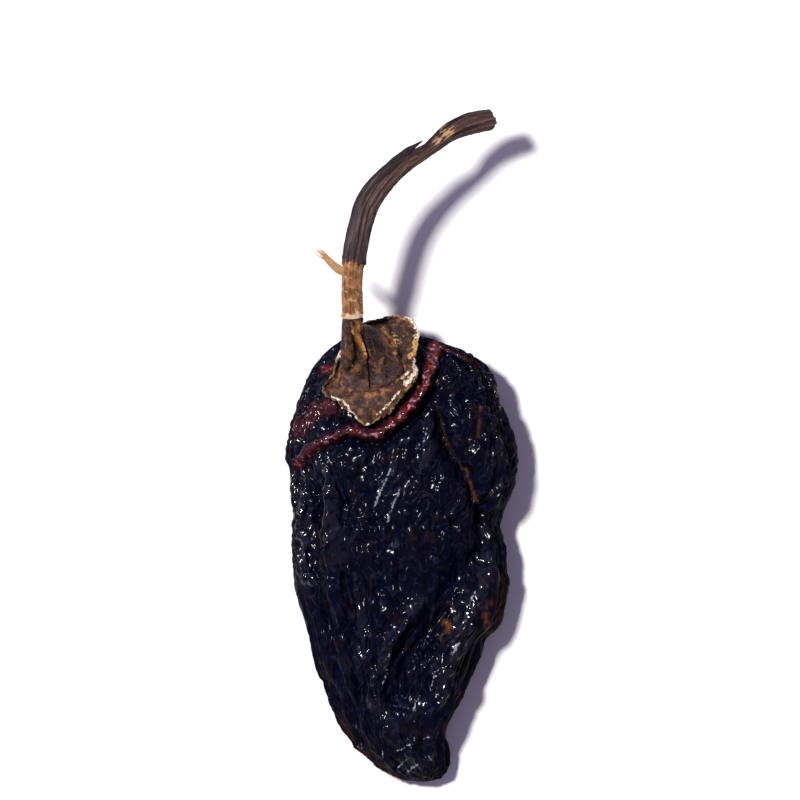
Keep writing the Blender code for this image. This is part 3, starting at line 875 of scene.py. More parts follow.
# %% Make the pod
def make_pod():
    values = {"flow": flow_coordinates(), "maroon": POD_MAROON, "rust": POD_RUST, "shine": POD_SHINE,
              "calm": POD_CALM, "painted_glint": POD_PAINTED_GLINT}
    start = tube_object("pod_wrinkled", centred(POD_POINTS), POD_UPPER + POD_LOWER, values)
    return run_tree(wrinkle_tree(), start, pod_skin())


pod = make_pod()
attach(pod, "root")
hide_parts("pod")

# %% [markdown]
# ## The calyx
# The calyx is the dry brown cap that the stem grows out of: a fluted bell that stands on a thin, wavy, ragged
# brim, which lies on the pod's shoulder. The form follows one rule: every spoke leaves the neck along the
# stem, comes down steeply onto the bell's foot, turns there, and runs out to the brim's edge. Foot and edge
# are two lines traced from above. A plain skewed cone has no foot, and it is the foot that catches the light.
# The brim is laid on the finished pod by dropping rays onto it.

# %% Calyx sizes
CALYX_EDGE = (  # the brim's edge from above, at the same spokes as the foot
    (-8.1, 5.1), (-10.9, 6.8), (-12.7, 8.9), (-16.0, 11.2), (-18.6, 13.4), (-16.4, 16.6), (-14.9, 20.4),
    (-14.0, 24.2), (-12.4, 27.6), (-7.6, 29.4), (-2.6, 30.2), (1.4, 30.3), (3.6, 27.4), (3.2, 23.8),
    (2.7, 20.4), (3.1, 17.2), (2.1, 14.6), (-0.2, 12.4), (-2.1, 9.4), (-4.0, 7.7), (-6.0, 6.6),
)
CALYX_FOOT = (
    (-8.0, 12.9), (-9.9, 13.0), (-11.5, 13.4), (-13.2, 14.4), (-14.3, 15.8), (-14.5, 17.8), (-14.1, 20.1),
    (-13.3, 22.9), (-12.4, 25.9), (-9.8, 27.6), (-7.3, 28.4), (-5.6, 27.6), (-4.3, 25.8), (-2.9, 23.7),
    (-1.5, 21.8), (-0.3, 20.0), (-0.1, 18.0), (-1.2, 16.3), (-2.9, 14.9), (-4.7, 13.9), (-6.4, 13.1),
)
CALYX_COLUMNS = 300
BELL_ROWS = 78
BRIM_ROWS = 56
CALYX_ROWS = BELL_ROWS + BRIM_ROWS
CALYX_UNDER_ROWS = 50
CALYX_LIP = 0.75
CALYX_RIDE = 1.4
CALYX_REAR_Z = 14.5
CALYX_FRONT_Z = 25.0
FOOT_LIFT = 0.5
BELL_BULGE = 2.6
CALYX_RIBS = 9
CALYX_RIB_HEIGHT = 0.22
CALYX_FALL = 1.8  # how late towards the rear the calyx falls from its front height to its rear height
CALYX_MARKS = ("out", "rib", "groove", "ledge", "pale", "gold", "shade")
CALYX_SHARES = np.arange(CALYX_COLUMNS) / CALYX_COLUMNS
CALYX_TURNS = CALYX_SHARES * 2 * math.pi
BELL_LINES = (  # height, half width and line of each groove or ridge on the bell's face
    (-1.25, 0.60, ((-8.6, 29.0), (-8.5, 26.0), (-8.0, 22.5), (-7.4, 19.8), (-7.1, 17.0), (-7.0, 14.0))),
    (-0.90, 0.55, ((-12.5, 28.5), (-11.4, 25.0), (-10.6, 22.4), (-10.9, 20.2), (-12.1, 18.6), (-13.8, 17.4))),
    (0.75, 0.65, ((-12.2, 28.4), (-11.0, 26.2), (-9.7, 23.6), (-8.7, 21.2))),
    (0.60, 0.40, ((-7.3, 30.4), (-5.2, 27.0), (-2.9, 23.6), (-1.9, 21.9))),
    (-0.80, 1.20, ((-7.4, 30.2), (-6.6, 27.0), (-5.7, 24.2), (-5.2, 22.6))),
    (0.30, 0.50, ((-10.8, 30.2), (-10.1, 27.4))),
    (-0.45, 0.45, ((-4.0, 22.0), (-3.6, 19.0), (-3.2, 16.4))),
)
PALE_LINES = (
    (1.0, 1.00, ((1.4, 30.6), (3.1, 29.2), (3.8, 27.0), (3.4, 25.4))),
    (1.0, 0.80, ((2.8, 19.9), (2.8, 18.0), (2.0, 16.1), (0.6, 14.8))),
    (0.9, 0.40, ((1.3, 17.6), (-0.3, 16.1))),
    (0.75, 0.35, ((-0.6, 13.2), (-2.0, 11.6), (-3.1, 10.2))),
    (0.6, 0.30, ((-3.1, 10.2), (-5.9, 7.6))),
    (1.0, 0.55, ((-13.4, 25.2), (-13.9, 22.5), (-14.7, 20.4))),
    (0.85, 0.35, ((-16.6, 11.9), (-14.0, 10.8), (-12.8, 9.6), (-12.6, 8.6), (-10.7, 6.9))),
    (0.8, 0.30, ((-8.4, 5.4), (-7.6, 5.4))),
)
# Gold fibre on the brim, and one painted highlight (the third line).
GOLD_AND_HIGHLIGHT_LINES = (
    (1.0, 0.80, ((2.8, 24.6), (2.9, 22.4), (1.6, 21.2))),
    (1.0, 0.45, ((-2.0, 22.0), (-1.8, 21.6))),
    # painted highlight: an orange patch on the brim beside the bell, where light catches it
    (0.55, 0.9, ((-1.9, 26.5), (-1.4, 24.2))),
    (0.6, 0.40, ((-0.6, 30.2), (1.2, 29.6))),
    (0.8, 0.35, ((-11.8, 27.2), (-11.5, 26.4))),
    (0.8, 0.35, ((-9.4, 24.2), (-8.7, 21.8))),
)
# Painted shadow: lines of the dark valleys beside the bell, which the material paints near black.
SHADE_LINES = (
    (0.9, 0.80, ((-4.9, 30.5), (-2.9, 27.4), (-1.3, 23.8), (-0.5, 21.4))),
    (1.0, 0.95, ((-8.1, 31.0), (-7.7, 26.3), (-7.2, 22.0))),
    (0.8, 1.20, ((-6.9, 30.5), (-6.3, 27.0), (-5.4, 24.6), (-5.0, 23.2))),
    (0.6, 0.60, ((-12.8, 25.0), (-11.9, 21.8), (-12.2, 19.4))),
)
RAGGED = 0.4
PALE_STRIP = 0.31  # share of the way round where the edge stands up and shows its pale side
NECK = np.array((-11.9, 31.7, 27.4))
NECK_RADIUS = 1.95
STEM_ROUTE = (
    tuple(NECK), (-12.0, 37.4, 29.0), (-11.5, 43.5, 30.3), (-10.3, 49.8, 31.1), (-8.2, 56.2, 31.2),
    (-4.4, 61.5, 30.7), (0.7, 65.8, 29.5), (6.2, 69.1, 27.9), (10.9, 73.0, 26.0), (15.8, 75.2, 24.1),
    (20.8, 76.2, 22.2),
)

# %% [markdown]
# The brim's height comes from the pod below it. Single rays would copy every wrinkle, so each point takes the
# highest of nine rays around it, and the heights are then smoothed over their neighbours.

# %% Heights over the pod
RAY_START = 100.0
RAY_TURNS = 8
LAY_REACH = 1.3
LAY_SHIFTS = range(-5, 6)
LAY_PASSES = 24


def surface_of(obj):
    mesh = obj.data
    faces = [tuple(face.vertices) for face in mesh.polygons]
    return BVHTree.FromPolygons([vertex.co / MM for vertex in mesh.vertices], faces)


def height_under(surface, points, reach):
    """The highest place of a surface near each point in plan; far below where there is none."""
    turns = np.arange(RAY_TURNS) * 2 * math.pi / RAY_TURNS
    around = [(0.0, 0.0)] + [(reach * math.cos(t), reach * math.sin(t)) for t in turns]
    found = np.full(len(points), -1e3)
    for dx, dy in around:
        for index, (x, y) in enumerate(points[:, :2]):
            hit = surface.ray_cast(Vector((x + dx, y + dy, RAY_START)), Vector((0, 0, -1)))[0]
            if hit is not None:
                found[index] = max(found[index], hit.z)
    return found


def laid(line, surface, ride):
    """A line traced from above, at its height over the pod."""
    lowest, highest = min(p[1] for p in CALYX_EDGE), max(p[1] for p in CALYX_EDGE)
    rearward = np.clip((line[:, 1] - lowest) / (highest - lowest), 0, 1)
    z = CALYX_FRONT_Z + (CALYX_REAR_Z - CALYX_FRONT_Z) * rearward ** CALYX_FALL
    under = height_under(surface, centred(np.column_stack((line, z))), LAY_REACH)
    under = np.max([np.roll(under, shift) for shift in LAY_SHIFTS], axis=0)
    level = np.maximum(z, under + ride)
    for _ in range(LAY_PASSES):
        level = (level + np.roll(level, 1) + np.roll(level, -1)) / 3
    return np.column_stack((line, level))


def smoothed(grid, passes):
    """A grid of values evened out with its neighbours; columns run round, rows end."""
    for _ in range(passes):
        up, down = np.vstack((grid[:1], grid[:-1])), np.vstack((grid[1:], grid[-1:]))
        grid = (grid * 2 + up + down + np.roll(grid, 1, 1) + np.roll(grid, -1, 1)) / 6
    return grid


# %% [markdown]
# Every spoke is one curve from the neck to the foot and one short run from the foot to the edge. On the right
# the bell is steeper, as it is there in the photograph.


# %% Spokes of bell and brim
BELL_STRAIGHT = 4.5  # how far each spoke follows the stem before it turns down
BELL_SPREAD = 0.4
NECK_LEAN = (2.0, 0.3)  # how far towards the neck a spoke bends above its foot: gentle side, steep side
STEEP_EXTRA = 1.8
STEEP_FROM = (0.42, 0.52)  # shares of the way round between which the bell becomes steep
STEEP_TO = (0.86, 0.78)
BRIM_SAG = 0.5


def neck_frame():
    axis = unit(np.array(STEM_ROUTE[1]) - NECK)
    side = unit(np.cross(axis, (0.0, 0.0, 1.0)))
    return axis, side, unit(np.cross(side, axis))


def bezier(a, b, c, d, t):
    return a * (1 - t) ** 3 + b * 3 * t * (1 - t) ** 2 + c * 3 * t * t * (1 - t) + d * t ** 3


def wave(often, seed):
    """Soft noise round the calyx, between about -1 and 1."""
    rings = [(math.cos(a) * often, math.sin(a) * often, seed) for a in CALYX_TURNS]
    return np.array([noise.noise(Vector(place)) * 1.6 for place in rings])


def calyx_lines(surface):
    """The calyx's ragged edge and its foot, both at their heights over the pod."""
    edge = along(CALYX_EDGE, CALYX_SHARES, closed=True)
    ragged = wave(4, 2.0) + 0.8 * wave(11, 7.0)
    edge = laid(edge + unit(edge - edge.mean(0)) * (ragged[:, None] * RAGGED), surface, CALYX_RIDE)
    foot = laid(along(CALYX_FOOT, CALYX_SHARES, closed=True), surface, CALYX_RIDE + FOOT_LIFT)
    return edge, foot


def calyx_spokes(edge, foot):
    """Rows from the neck to the edge, the way outwards for each column, and the share of the way out."""
    axis, side, up = neck_frame()
    spoke = (foot + edge) / 2 - NECK
    angle = np.unwrap(np.arctan2(spoke @ up, spoke @ side))
    radial = np.outer(np.cos(angle), side) + np.outer(np.sin(angle), up)
    start = NECK + radial * NECK_RADIUS
    steep = (smoothstep(*STEEP_FROM, CALYX_SHARES) * smoothstep(*STEEP_TO, CALYX_SHARES))[:, None]
    lean = NECK_LEAN[0] + (NECK_LEAN[1] - NECK_LEAN[0]) * steep
    above = foot + unit(NECK - foot) * lean + (0, 0, 1) * (BELL_BULGE + STEEP_EXTRA * steep)
    below = start - axis * BELL_STRAIGHT + radial * BELL_SPREAD
    t = np.linspace(0, 1, BELL_ROWS)[:, None, None]
    bell = bezier(start, below, above, foot, t)
    s = np.linspace(0, 1, BRIM_ROWS + 1)[1:, None, None]
    brim = foot + (edge - foot) * s
    brim[..., 2] -= BRIM_SAG * np.sin(math.pi * s[..., 0])
    out = np.concatenate((t.ravel() * 0.5, 0.5 + s.ravel() * 0.5))[:, None] + np.zeros(CALYX_COLUMNS)
    return np.vstack((bell, brim)), radial, out


# %% [markdown]
# Relief comes last: ribs and grooves along their lines on the front of the bell, then the brim's waves, its
# curled pale strip, and the small rise of its gold and pale places. The marks are kept for the material.


# %% Relief of the calyx
CURL_HEIGHT = 0.7
RIGHT_CURL = 0.9
STRIP_CURL = 2.2
STRIP_WIDTH = 0.04
BRIM_WAVE = 1.3
GOLD_RISE = 0.5
PALE_RISE = 0.2
LIFT_PASSES = 14
LEDGE_PLACE = 0.55
LEDGE_WIDTH = 0.06


def fluted(grid, radial, out):
    """The grid with its ribs and grooves, and where the ribs and the grooves are."""
    on_bell = smoothstep(0.02, 0.1, out) * smoothstep(0.5, 0.46, out)
    relief = CALYX_RIB_HEIGHT * np.cos(CALYX_RIBS * CALYX_TURNS)[None] * on_bell
    groove, rib = np.zeros_like(out), np.zeros_like(out)
    front = smoothstep(-0.2, 0.3, (grid - NECK) @ neck_frame()[2] / 8 + 0.5) * on_bell
    for height, width, line in BELL_LINES:
        away, _ = distance_to_line(grid.reshape(-1, 3)[:, :2], along(line, np.linspace(0, 1, 24)))
        near = np.exp(-((away.reshape(out.shape) / width) ** 2)) * front
        relief = relief + height * near
        groove = np.maximum(groove, near if height < 0 else 0)
        rib = np.maximum(rib, near if height > 0 else 0)
    return grid + radial[None] * relief[..., None], rib, groove


def brim_rise(edge, out):
    """How far the brim waves and curls up."""
    swell = np.clip((out - 0.5) / 0.5, 0, 1)
    curl = np.maximum(0.5 + wave(5, 9.0), 0.0) * CURL_HEIGHT
    curl += smoothstep(-4.0, 2.0, edge[:, 0]) * RIGHT_CURL
    curl += STRIP_CURL * np.exp(-(((CALYX_SHARES - PALE_STRIP) / STRIP_WIDTH) ** 2))
    curled = curl * np.clip(swell * 2.6 - 1.6, 0, 1) ** 2
    return curled + swell * (1 - swell) * wave(4, 3.0) * BRIM_WAVE


def calyx_upper(surface):
    edge, foot = calyx_lines(surface)
    grid, radial, out = calyx_spokes(edge, foot)
    grid, rib, groove = fluted(grid, radial, out)
    flat = grid.reshape(-1, 3)
    under = height_under(surface, centred(flat), 1.0).reshape(out.shape) + CALYX_RIDE
    lift = np.maximum(grid[..., 2], under) - grid[..., 2]
    tables = (PALE_LINES, GOLD_AND_HIGHLIGHT_LINES, SHADE_LINES)
    pale, gold, shade = (nearness(flat, lines).reshape(out.shape) for lines in tables)
    on_brim = smoothstep(0.5, 0.6, out)
    pale *= on_brim
    rise = GOLD_RISE * gold * on_brim + PALE_RISE * pale
    grid[..., 2] += smoothed(lift, LIFT_PASSES) + brim_rise(edge, out) + rise
    ledge = np.exp(-(((out - LEDGE_PLACE) / LEDGE_WIDTH) ** 2))
    return grid, dict(zip(CALYX_MARKS, (out, rib, groove, ledge, pale, gold, shade)))


# %% [markdown]
# The underside follows the upper side at the brim's thickness, which grows from the edge inwards, and ends
# in a cap close to the foot, where nothing shows.


# %% The closed calyx
def calyx_piece(surface):
    upper, marks = calyx_upper(surface)
    rows = np.arange(CALYX_ROWS - 1, CALYX_ROWS - 1 - CALYX_UNDER_ROWS, -1)
    ahead, behind = np.roll(upper, -1, 1), np.roll(upper, 1, 1)
    outer, inner = np.vstack((upper[1:], upper[-1:])), np.vstack((upper[:1], upper[:-1]))
    normal = unit(np.cross(ahead - behind, outer - inner))
    normal *= np.where(normal[..., 2:] < 0, -1, 1)
    depth = CALYX_LIP * (0.35 + 0.65 * smoothstep(0, 14, np.arange(CALYX_UNDER_ROWS)))
    lower = upper[rows] - normal[rows] * depth[:, None, None]
    values = {label: np.vstack((part, part[rows])) for label, part in marks.items()}
    reach = 3.0 + 6.0 * values["out"]
    round_about = (reach * np.cos(CALYX_TURNS), reach * np.sin(CALYX_TURNS), values["out"] * 9.0)
    values = {label: part.ravel() for label, part in values.items()}
    values["flow"] = np.stack(round_about, axis=-1).reshape(-1, 3)
    points = centred(np.vstack((upper, lower)).reshape(-1, 3))
    print("calyx points:", len(points))
    return tube_object("calyx_fluted", points, CALYX_COLUMNS, values)


# %% [markdown]
# ## Dry grain
# Calyx, bark and bare wood are all dead plant fibre, so one group of nodes gives all three their grain:
# streaks along the fibres, soft blotches, fine speckle, and a height for the smallest relief. It gives out
# only masks and a height, and each material turns them into its own colours. Copies of the same noise in
# three materials would drift apart as soon as one was changed.


# %% The grain group
def grain_group():
    tree = bpy.data.node_groups.new("dry_grain", "ShaderNodeTree")
    tree.interface.new_socket("Place", in_out="INPUT", socket_type="NodeSocketVector")
    for label, value in (("Size", 1.0), ("Speckle size", 0.35)):
        socket = tree.interface.new_socket(label, in_out="INPUT", socket_type="NodeSocketFloat")
        socket.default_value = value
    for label in ("Streaks", "Blotches", "Speckle", "Height"):
        tree.interface.new_socket(label, in_out="OUTPUT", socket_type="NodeSocketFloat")
    place, size, speckle, *_ = (Value(tree, socket) for socket in tree.nodes.new("NodeGroupInput").outputs)
    small = scaled(place, 1.0 / size)
    lines = noise_in(small, 1.0, 4.0, 0.6)
    grit = noise_in(scaled(place, 1.0 / speckle), 1.0)
    add(tree, "NodeGroupOutput", {"Streaks": ramp(lines, 0.4, 0.62), "Speckle": ramp(grit, 0.52, 0.68),
                                  "Blotches": patches(small, 1 / 0.22, 2.0, 0.38, 0.6),
                                  "Height": lines * 0.7 + grit * 0.3})
    return tree


GRAIN = grain_group()


def grain_in(place, size, speckle):
    inputs = {"Place": place, "Size": size, "Speckle size": speckle}
    made = add(place.tree, "ShaderNodeGroup", inputs, node_tree=GRAIN)
    return {socket.name: Value(place.tree, socket) for socket in made.outputs}


# %% [markdown]
# The bell is dark brown with tan ribs that are painted lighter where light catches them, grooves and valleys
# painted almost black as shade, and grey-brown lobes low down. Where it opens into the brim runs a tan ledge.
# The brim is lighter and blotched, and its broken edge shows pale cream fibre, with gold where the fibre is
# thin, and one orange painted highlight on the brim beside the bell.

# %% Calyx material, and the calyx
BELL_DARK = (0.015, 0.0060, 0.0055)
BELL_LIGHT = (0.030, 0.0140, 0.0140)
BELL_STREAK = (0.070, 0.026, 0.011)
LOBE_LIGHT = (0.090, 0.052, 0.052)
LOBE_DARK = (0.050, 0.034, 0.044)
WARM_BROWN = (0.165, 0.072, 0.030)
# tan of the ribs, painted lighter as a highlight where light catches them
TAN_RIB_HIGHLIGHT = (0.30, 0.115, 0.030)
BRIM_WARM = (0.062, 0.025, 0.013)
BRIM_COOL = (0.045, 0.028, 0.028)
BRIM_DARK = (0.022, 0.011, 0.009)
BRIM_MOTTLE = (0.19, 0.090, 0.040)
LEDGE_TAN = (0.34, 0.135, 0.044)
# painted shade: near black in the grooves and along the shaded valleys beside the bell
PAINTED_SHADE_BLACK = (0.006, 0.0035, 0.0040)
THIN_EDGE = (0.30, 0.19, 0.10)
CREAM_FIBRE = ((0.42, 0.29, 0.18), (0.80, 0.72, 0.61))
GOLD_FIBRE = ((0.22, 0.095, 0.030), (0.58, 0.34, 0.13))
SPECKLE_TAN = (0.30, 0.18, 0.11)
EDGE_MIX = 0.8


def calyx_skin():
    made, place = new_material("calyx_skin")
    tree = place.tree
    grain = grain_in(value_of(tree, "flow", "Vector"), 0.9, 0.3)
    out, rib, groove, ledge, pale, gold, shade = (value_of(tree, label) for label in CALYX_MARKS)
    bell = mixed(grain["Blotches"], BELL_DARK, BELL_LIGHT)
    bell = mixed(grain["Streaks"] * 0.4, bell, BELL_STREAK)
    low_down = ramp(noise_in(place, 2.5) * 0.16 + out, 0.42, 0.50, 0.0, 0.85)
    bell = mixed(low_down, bell, mixed(grain["Blotches"], LOBE_LIGHT, LOBE_DARK))
    bell = mixed(patches(place, 2.2, 3.0, 0.48, 0.64, 0.0, 0.75), bell, WARM_BROWN)
    # painted highlight: ribs lightened to tan
    bell = mixed(rib * patches(place, 1.2, 2.0, 0.35, 0.6, 0.3, 1.0), bell, TAN_RIB_HIGHLIGHT)
    brim = mixed(patches(place, 3.0, 2.0, 0.4, 0.6), BRIM_WARM, BRIM_COOL)
    brim = mixed(patches(place, 1.5, 3.0, 0.32, 0.52, 0.6, 0.0), brim, BRIM_DARK)
    brim = mixed(patches(place, 1.5, 3.0, 0.48, 0.72, 0.0, 0.9), brim, BRIM_MOTTLE)
    colour = mixed(ramp(out, 0.49, 0.52), bell, brim)
    colour = mixed(ledge * patches(place, 1.2, 3.0, 0.42, 0.58, 0.0, 0.9), colour, LEDGE_TAN)
    # painted shade: grooves and shaded valleys darkened to near black
    colour = mixed(maths("MAXIMUM", groove, shade) * 0.95, colour, PAINTED_SHADE_BLACK)
    torn = noise_in(place, 0.9, 3.0) - 0.5
    edge = torn * 0.1 + ((noise_in(place, 2.5) - 0.5) * 0.3 + out)
    fibre = patches(place, 0.5, 3.0, 0.35, 0.6)
    colour = mixed(ramp(edge, 0.98, 1.01) * EDGE_MIX, colour, THIN_EDGE)
    colour = mixed(ramp(torn * 2.2 + pale, 0.42, 0.75), colour, mixed(fibre, *CREAM_FIBRE))
    colour = mixed(ramp(torn * 2.0 + gold, 0.40, 0.7), colour, mixed(fibre, *GOLD_FIBRE))
    colour = mixed(grain["Speckle"] * 0.12, colour, SPECKLE_TAN)
    relief = noise_in(place, 1.6, 4.0, 0.6) * 3.0 + grain["Height"] * 0.6
    return finished(made, {
        "Base Color": colour,
        "Roughness": patches(place, 1.5, 3.0, 0.35, 0.65, 0.70, 0.34),
        "Normal": bumped(relief, 0.35),
        "Specular IOR Level": 0.12,
    })


def make_calyx():
    start = calyx_piece(surface_of(pod))
    return run_tree(wrinkle_tree(), start, calyx_skin(), net_height=0.18, net_size=2.6, crease_height=0.10,
                    crease_size=1.2, fine_height=0.03, fine_size=0.4)


calyx = make_calyx()
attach(calyx, "root")
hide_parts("calyx")

# %% [markdown]
# ## The stem and its splinters
# The stem is a ridged stalk that twists a little as it goes. Next to the calyx its bark has come off, so that
# golden wood shows, and the bark begins again in a ragged, slightly raised step. One tree makes every
# stalk-like piece: it sweeps a round along a line and then lifts ridges, fibres and the step out of it. Given
# several short lines it makes the splinters and loose strips of bark, which a solid tube can't show.

# %% Stalk sizes
STEM_RADII = (2.45, 2.3, 2.3, 2.35, 2.3, 2.15, 1.65, 1.15, 1.8, 2.15, 1.95)
STEM_END = (0.99, 0.96, 0.9, 0.8, 0.66, 0.5, 0.3, 0.05)  # shares of the last radius, to round off the end
STEM_POINTS = 560
STEM_INSET = 1.2  # how far the stem starts inside the calyx
SLIVER_ROUTES = (
    ((-13.6, 40.6, 29.6), (-15.2, 41.5, 29.8), (-17.4, 43.5, 30.2), (-19.4, 45.3, 30.9)),
    ((-13.8, 41.6, 30.0), (-15.4, 42.5, 30.1), (-17.2, 44.1, 30.5), (-18.6, 45.6, 31.2)),
    ((-13.6, 40.0, 29.2), (-15.4, 40.8, 29.2), (-17.4, 42.7, 29.7), (-18.6, 44.1, 30.3)),
)
SLIVER_GIRTHS = ((0.70, 0.65, 0.45, 0.15), (0.30, 0.28, 0.22, 0.10), (0.40, 0.36, 0.25, 0.08))
SLIVER_POINTS = 60
HAIRS = 12
HAIR_GIRTHS = (0.11, 0.09, 0.07, 0.03)
HAIR_POINTS = 12
STRIP_GIRTHS = (0.1, 0.8, 1.0, 0.9, 1.0, 0.8, 0.15)
STRIP_POINTS = 90
BARK_STRIPS = (  # start and end along the stem, degrees round it, lift at the end, girth
    (0.30, 0.71, 155, 1.6, 0.80),
    (0.37, 0.60, 118, 0.2, 0.50),
    (0.66, 0.90, 150, 0.2, 0.60),
    (0.73, 0.96, 70, 0.2, 0.55),
    (0.22, 0.52, 20, 0.2, 0.45),
)
BARE_SPOTS = (((8.2, 71.6, 28.6), 1.2), ((10.0, 72.8, 28.0), 1.6))  # centre and reach of each
NO_BARK = 90.0  # a start of the bark that is past the end of any splinter

# %% [markdown]
# A stalk begins as a line of points that carries its girth. The lines run at even steps, so that the rings
# swept along them are evenly spaced too.


# %% Lines for the stalk tree
def lines_object(name, routes, girths, points):
    """An object of several lines in millimetres, each with its own girth from end to end."""
    verts, edges, girth = [], [], []
    for route, widths in zip(routes, girths):
        shares = even_shares(route, points)
        first = len(verts)
        verts += [tuple(point) for point in centred(along(route, shares)) * MM]
        girth += list(np.interp(shares, np.linspace(0, 1, len(widths)), widths))
        edges += [(first + i, first + i + 1) for i in range(points - 1)]
    mesh = bpy.data.meshes.new(name)
    mesh.from_pydata(verts, edges, [])
    mesh.attributes.new("girth", "FLOAT", "POINT").data.foreach_set("value", girth)
    return show(name, mesh)


# %% [markdown]
# The tree keeps where each point is along the stalk and round it. Ridges are waves round the stalk, cords are
# sharper folded waves that wander, fibres are folded noise drawn out along it, and the bark is a thin step
# with a frayed border.

# %% The stalk tree
AROUND = 108
FLOW_DRAW = 0.11  # how far the patterns are drawn out along the stalk


def stalk_tree():
    sizes = {"Flatness": 1.0, "Ridges": 5.0, "Ridge height": 0.14, "Cords": 8.0, "Cord height": 0.10,
             "Fibre height": 0.10, "Fibre size": 0.5, "Twist": 0.021, "Bark start": 11.5,
             "Bark thickness": 0.28, "Lip height": 0.14}
    tree, given = shape_tree("ridged_stalk", sizes)
    spine = result(tree, "GeometryNodeMeshToCurve", {"Mesh": given["Geometry"]})
    spine = result(tree, "GeometryNodeSetCurveNormal", {"Curve": spine}, mode="Z_UP")
    spine = store(spine, "run", result(tree, "GeometryNodeSplineParameter", output="Length") / MM)
    circle = result(tree, "GeometryNodeCurvePrimitiveCircle", {"Resolution": AROUND, "Radius": MM})
    circle = store(circle, "turn", result(tree, "GeometryNodeInputIndex") * (2 * math.pi / AROUND))
    flattened = {"Geometry": circle, "Scale": joined(1.0, given["Flatness"], 1.0)}
    circle = result(tree, "GeometryNodeTransform", flattened)
    swept = {"Curve": spine, "Profile Curve": circle, "Scale": named(tree, "girth"), "Fill Caps": True}
    tube = result(tree, "GeometryNodeCurveToMesh", swept)
    run, turn, girth = (named(tree, label) for label in ("run", "turn", "girth"))
    twisted = run * given["Twist"] + turn
    flow = joined(maths("COSINE", twisted) * girth, maths("SINE", twisted) * girth, run * FLOW_DRAW)
    ridge = maths("COSINE", twisted * given["Ridges"])
    wander = noise_in(flow, 1 / 0.8, 1.0) * 3.0
    cord = 1.0 - abs(maths("SINE", wander + twisted * given["Cords"])) * 2.0
    fibre = creases(flow, given["Fibre size"], 3.0)
    frayed = (noise_in(flow, 1 / 1.3, 3.0, 0.7) - 0.5) * 9.0
    past = run - (frayed + given["Bark start"])
    bark = ramp(past, -0.15, 0.15)
    relief = cord * (given["Cord height"] * ramp(bark, 0.0, 1.0, 0.35, 1.0)) + ridge * given["Ridge height"]
    relief = (fibre * given["Fibre height"] + relief) * ramp(run, 0.0, 0.6)
    peeled_edge = hump(past - 0.35, 0.45) * 0.16 + hump(run, 0.7) * given["Lip height"]
    relief = bark * given["Bark thickness"] + (relief + peeled_edge)
    kept = store(tube, "flow", flow, "FLOAT_VECTOR")
    kept = store(kept, "bark", bark)
    kept = store(kept, "cord", fibre * 0.4 + cord)
    return end_tree(lifted(kept, relief * ramp(girth, 0.1, 0.8)), given["Material"])


STALK = stalk_tree()

# %% [markdown]
# Bark is a dark purple brown with paler cords; one side of the stem is painted lighter and warmer as light,
# with the paler cords only there, and the bark is painted darker near the calyx as shade. The wood under it is
# golden with brown fibres, palest at the lip where it leaves the calyx. Two spots near the end are bare of
# bark, and the broken end is darkest.

# %% Stem and wood materials
WOOD_BROWN = (0.120, 0.043, 0.014)
WOOD_GOLD = (0.36, 0.170, 0.058)
WOOD_PALE = (0.62, 0.42, 0.22)
BARK_DARK = (0.010, 0.0058, 0.0080)
BARK_LIGHT = (0.024, 0.0140, 0.0180)
BARK_SUNLIT = (0.062, 0.030, 0.020)
BARK_CORD = (0.20, 0.090, 0.045)
BARK_STREAK = (0.080, 0.040, 0.028)
BARK_SHADED = (0.018, 0.0110, 0.0170)
BARE_SPOT = (0.60, 0.40, 0.22)
LIP_PALE = (0.58, 0.42, 0.26)
BROKEN_END = (0.016, 0.009, 0.008)
SPLINTER_PALE = (0.75, 0.48, 0.24)


def wood_colour(grain, place):
    streak = grain["Streaks"] * 0.45 + patches(place, 1.6, 3.0, 0.38, 0.62, 0.0, 0.55)
    pale = patches(place, 1.1, 3.0, 0.56, 0.72, 0.0, 0.7)
    return mixed(pale, mixed(streak, WOOD_BROWN, WOOD_GOLD), WOOD_PALE)


def spots(ragged, place, places):
    """1 near any of these places, each a centre and a reach in millimetres, with a ragged border."""
    total = 0.0
    for centre, reach in places:
        middle = tuple(float(v) for v in centred(np.array(centre)))
        away = vectors("DISTANCE", place, middle, output="Value")
        total = maths("MAXIMUM", hump(away, reach), total)
    return ramp(total + ragged, 0.35, 0.6)


def finished_stalk(made, colour, grain):
    return finished(made, {
        "Base Color": colour,
        "Normal": bumped(grain["Height"], 0.22, 0.8),
        "Roughness": 0.62,
        "Specular IOR Level": 0.35,
    })


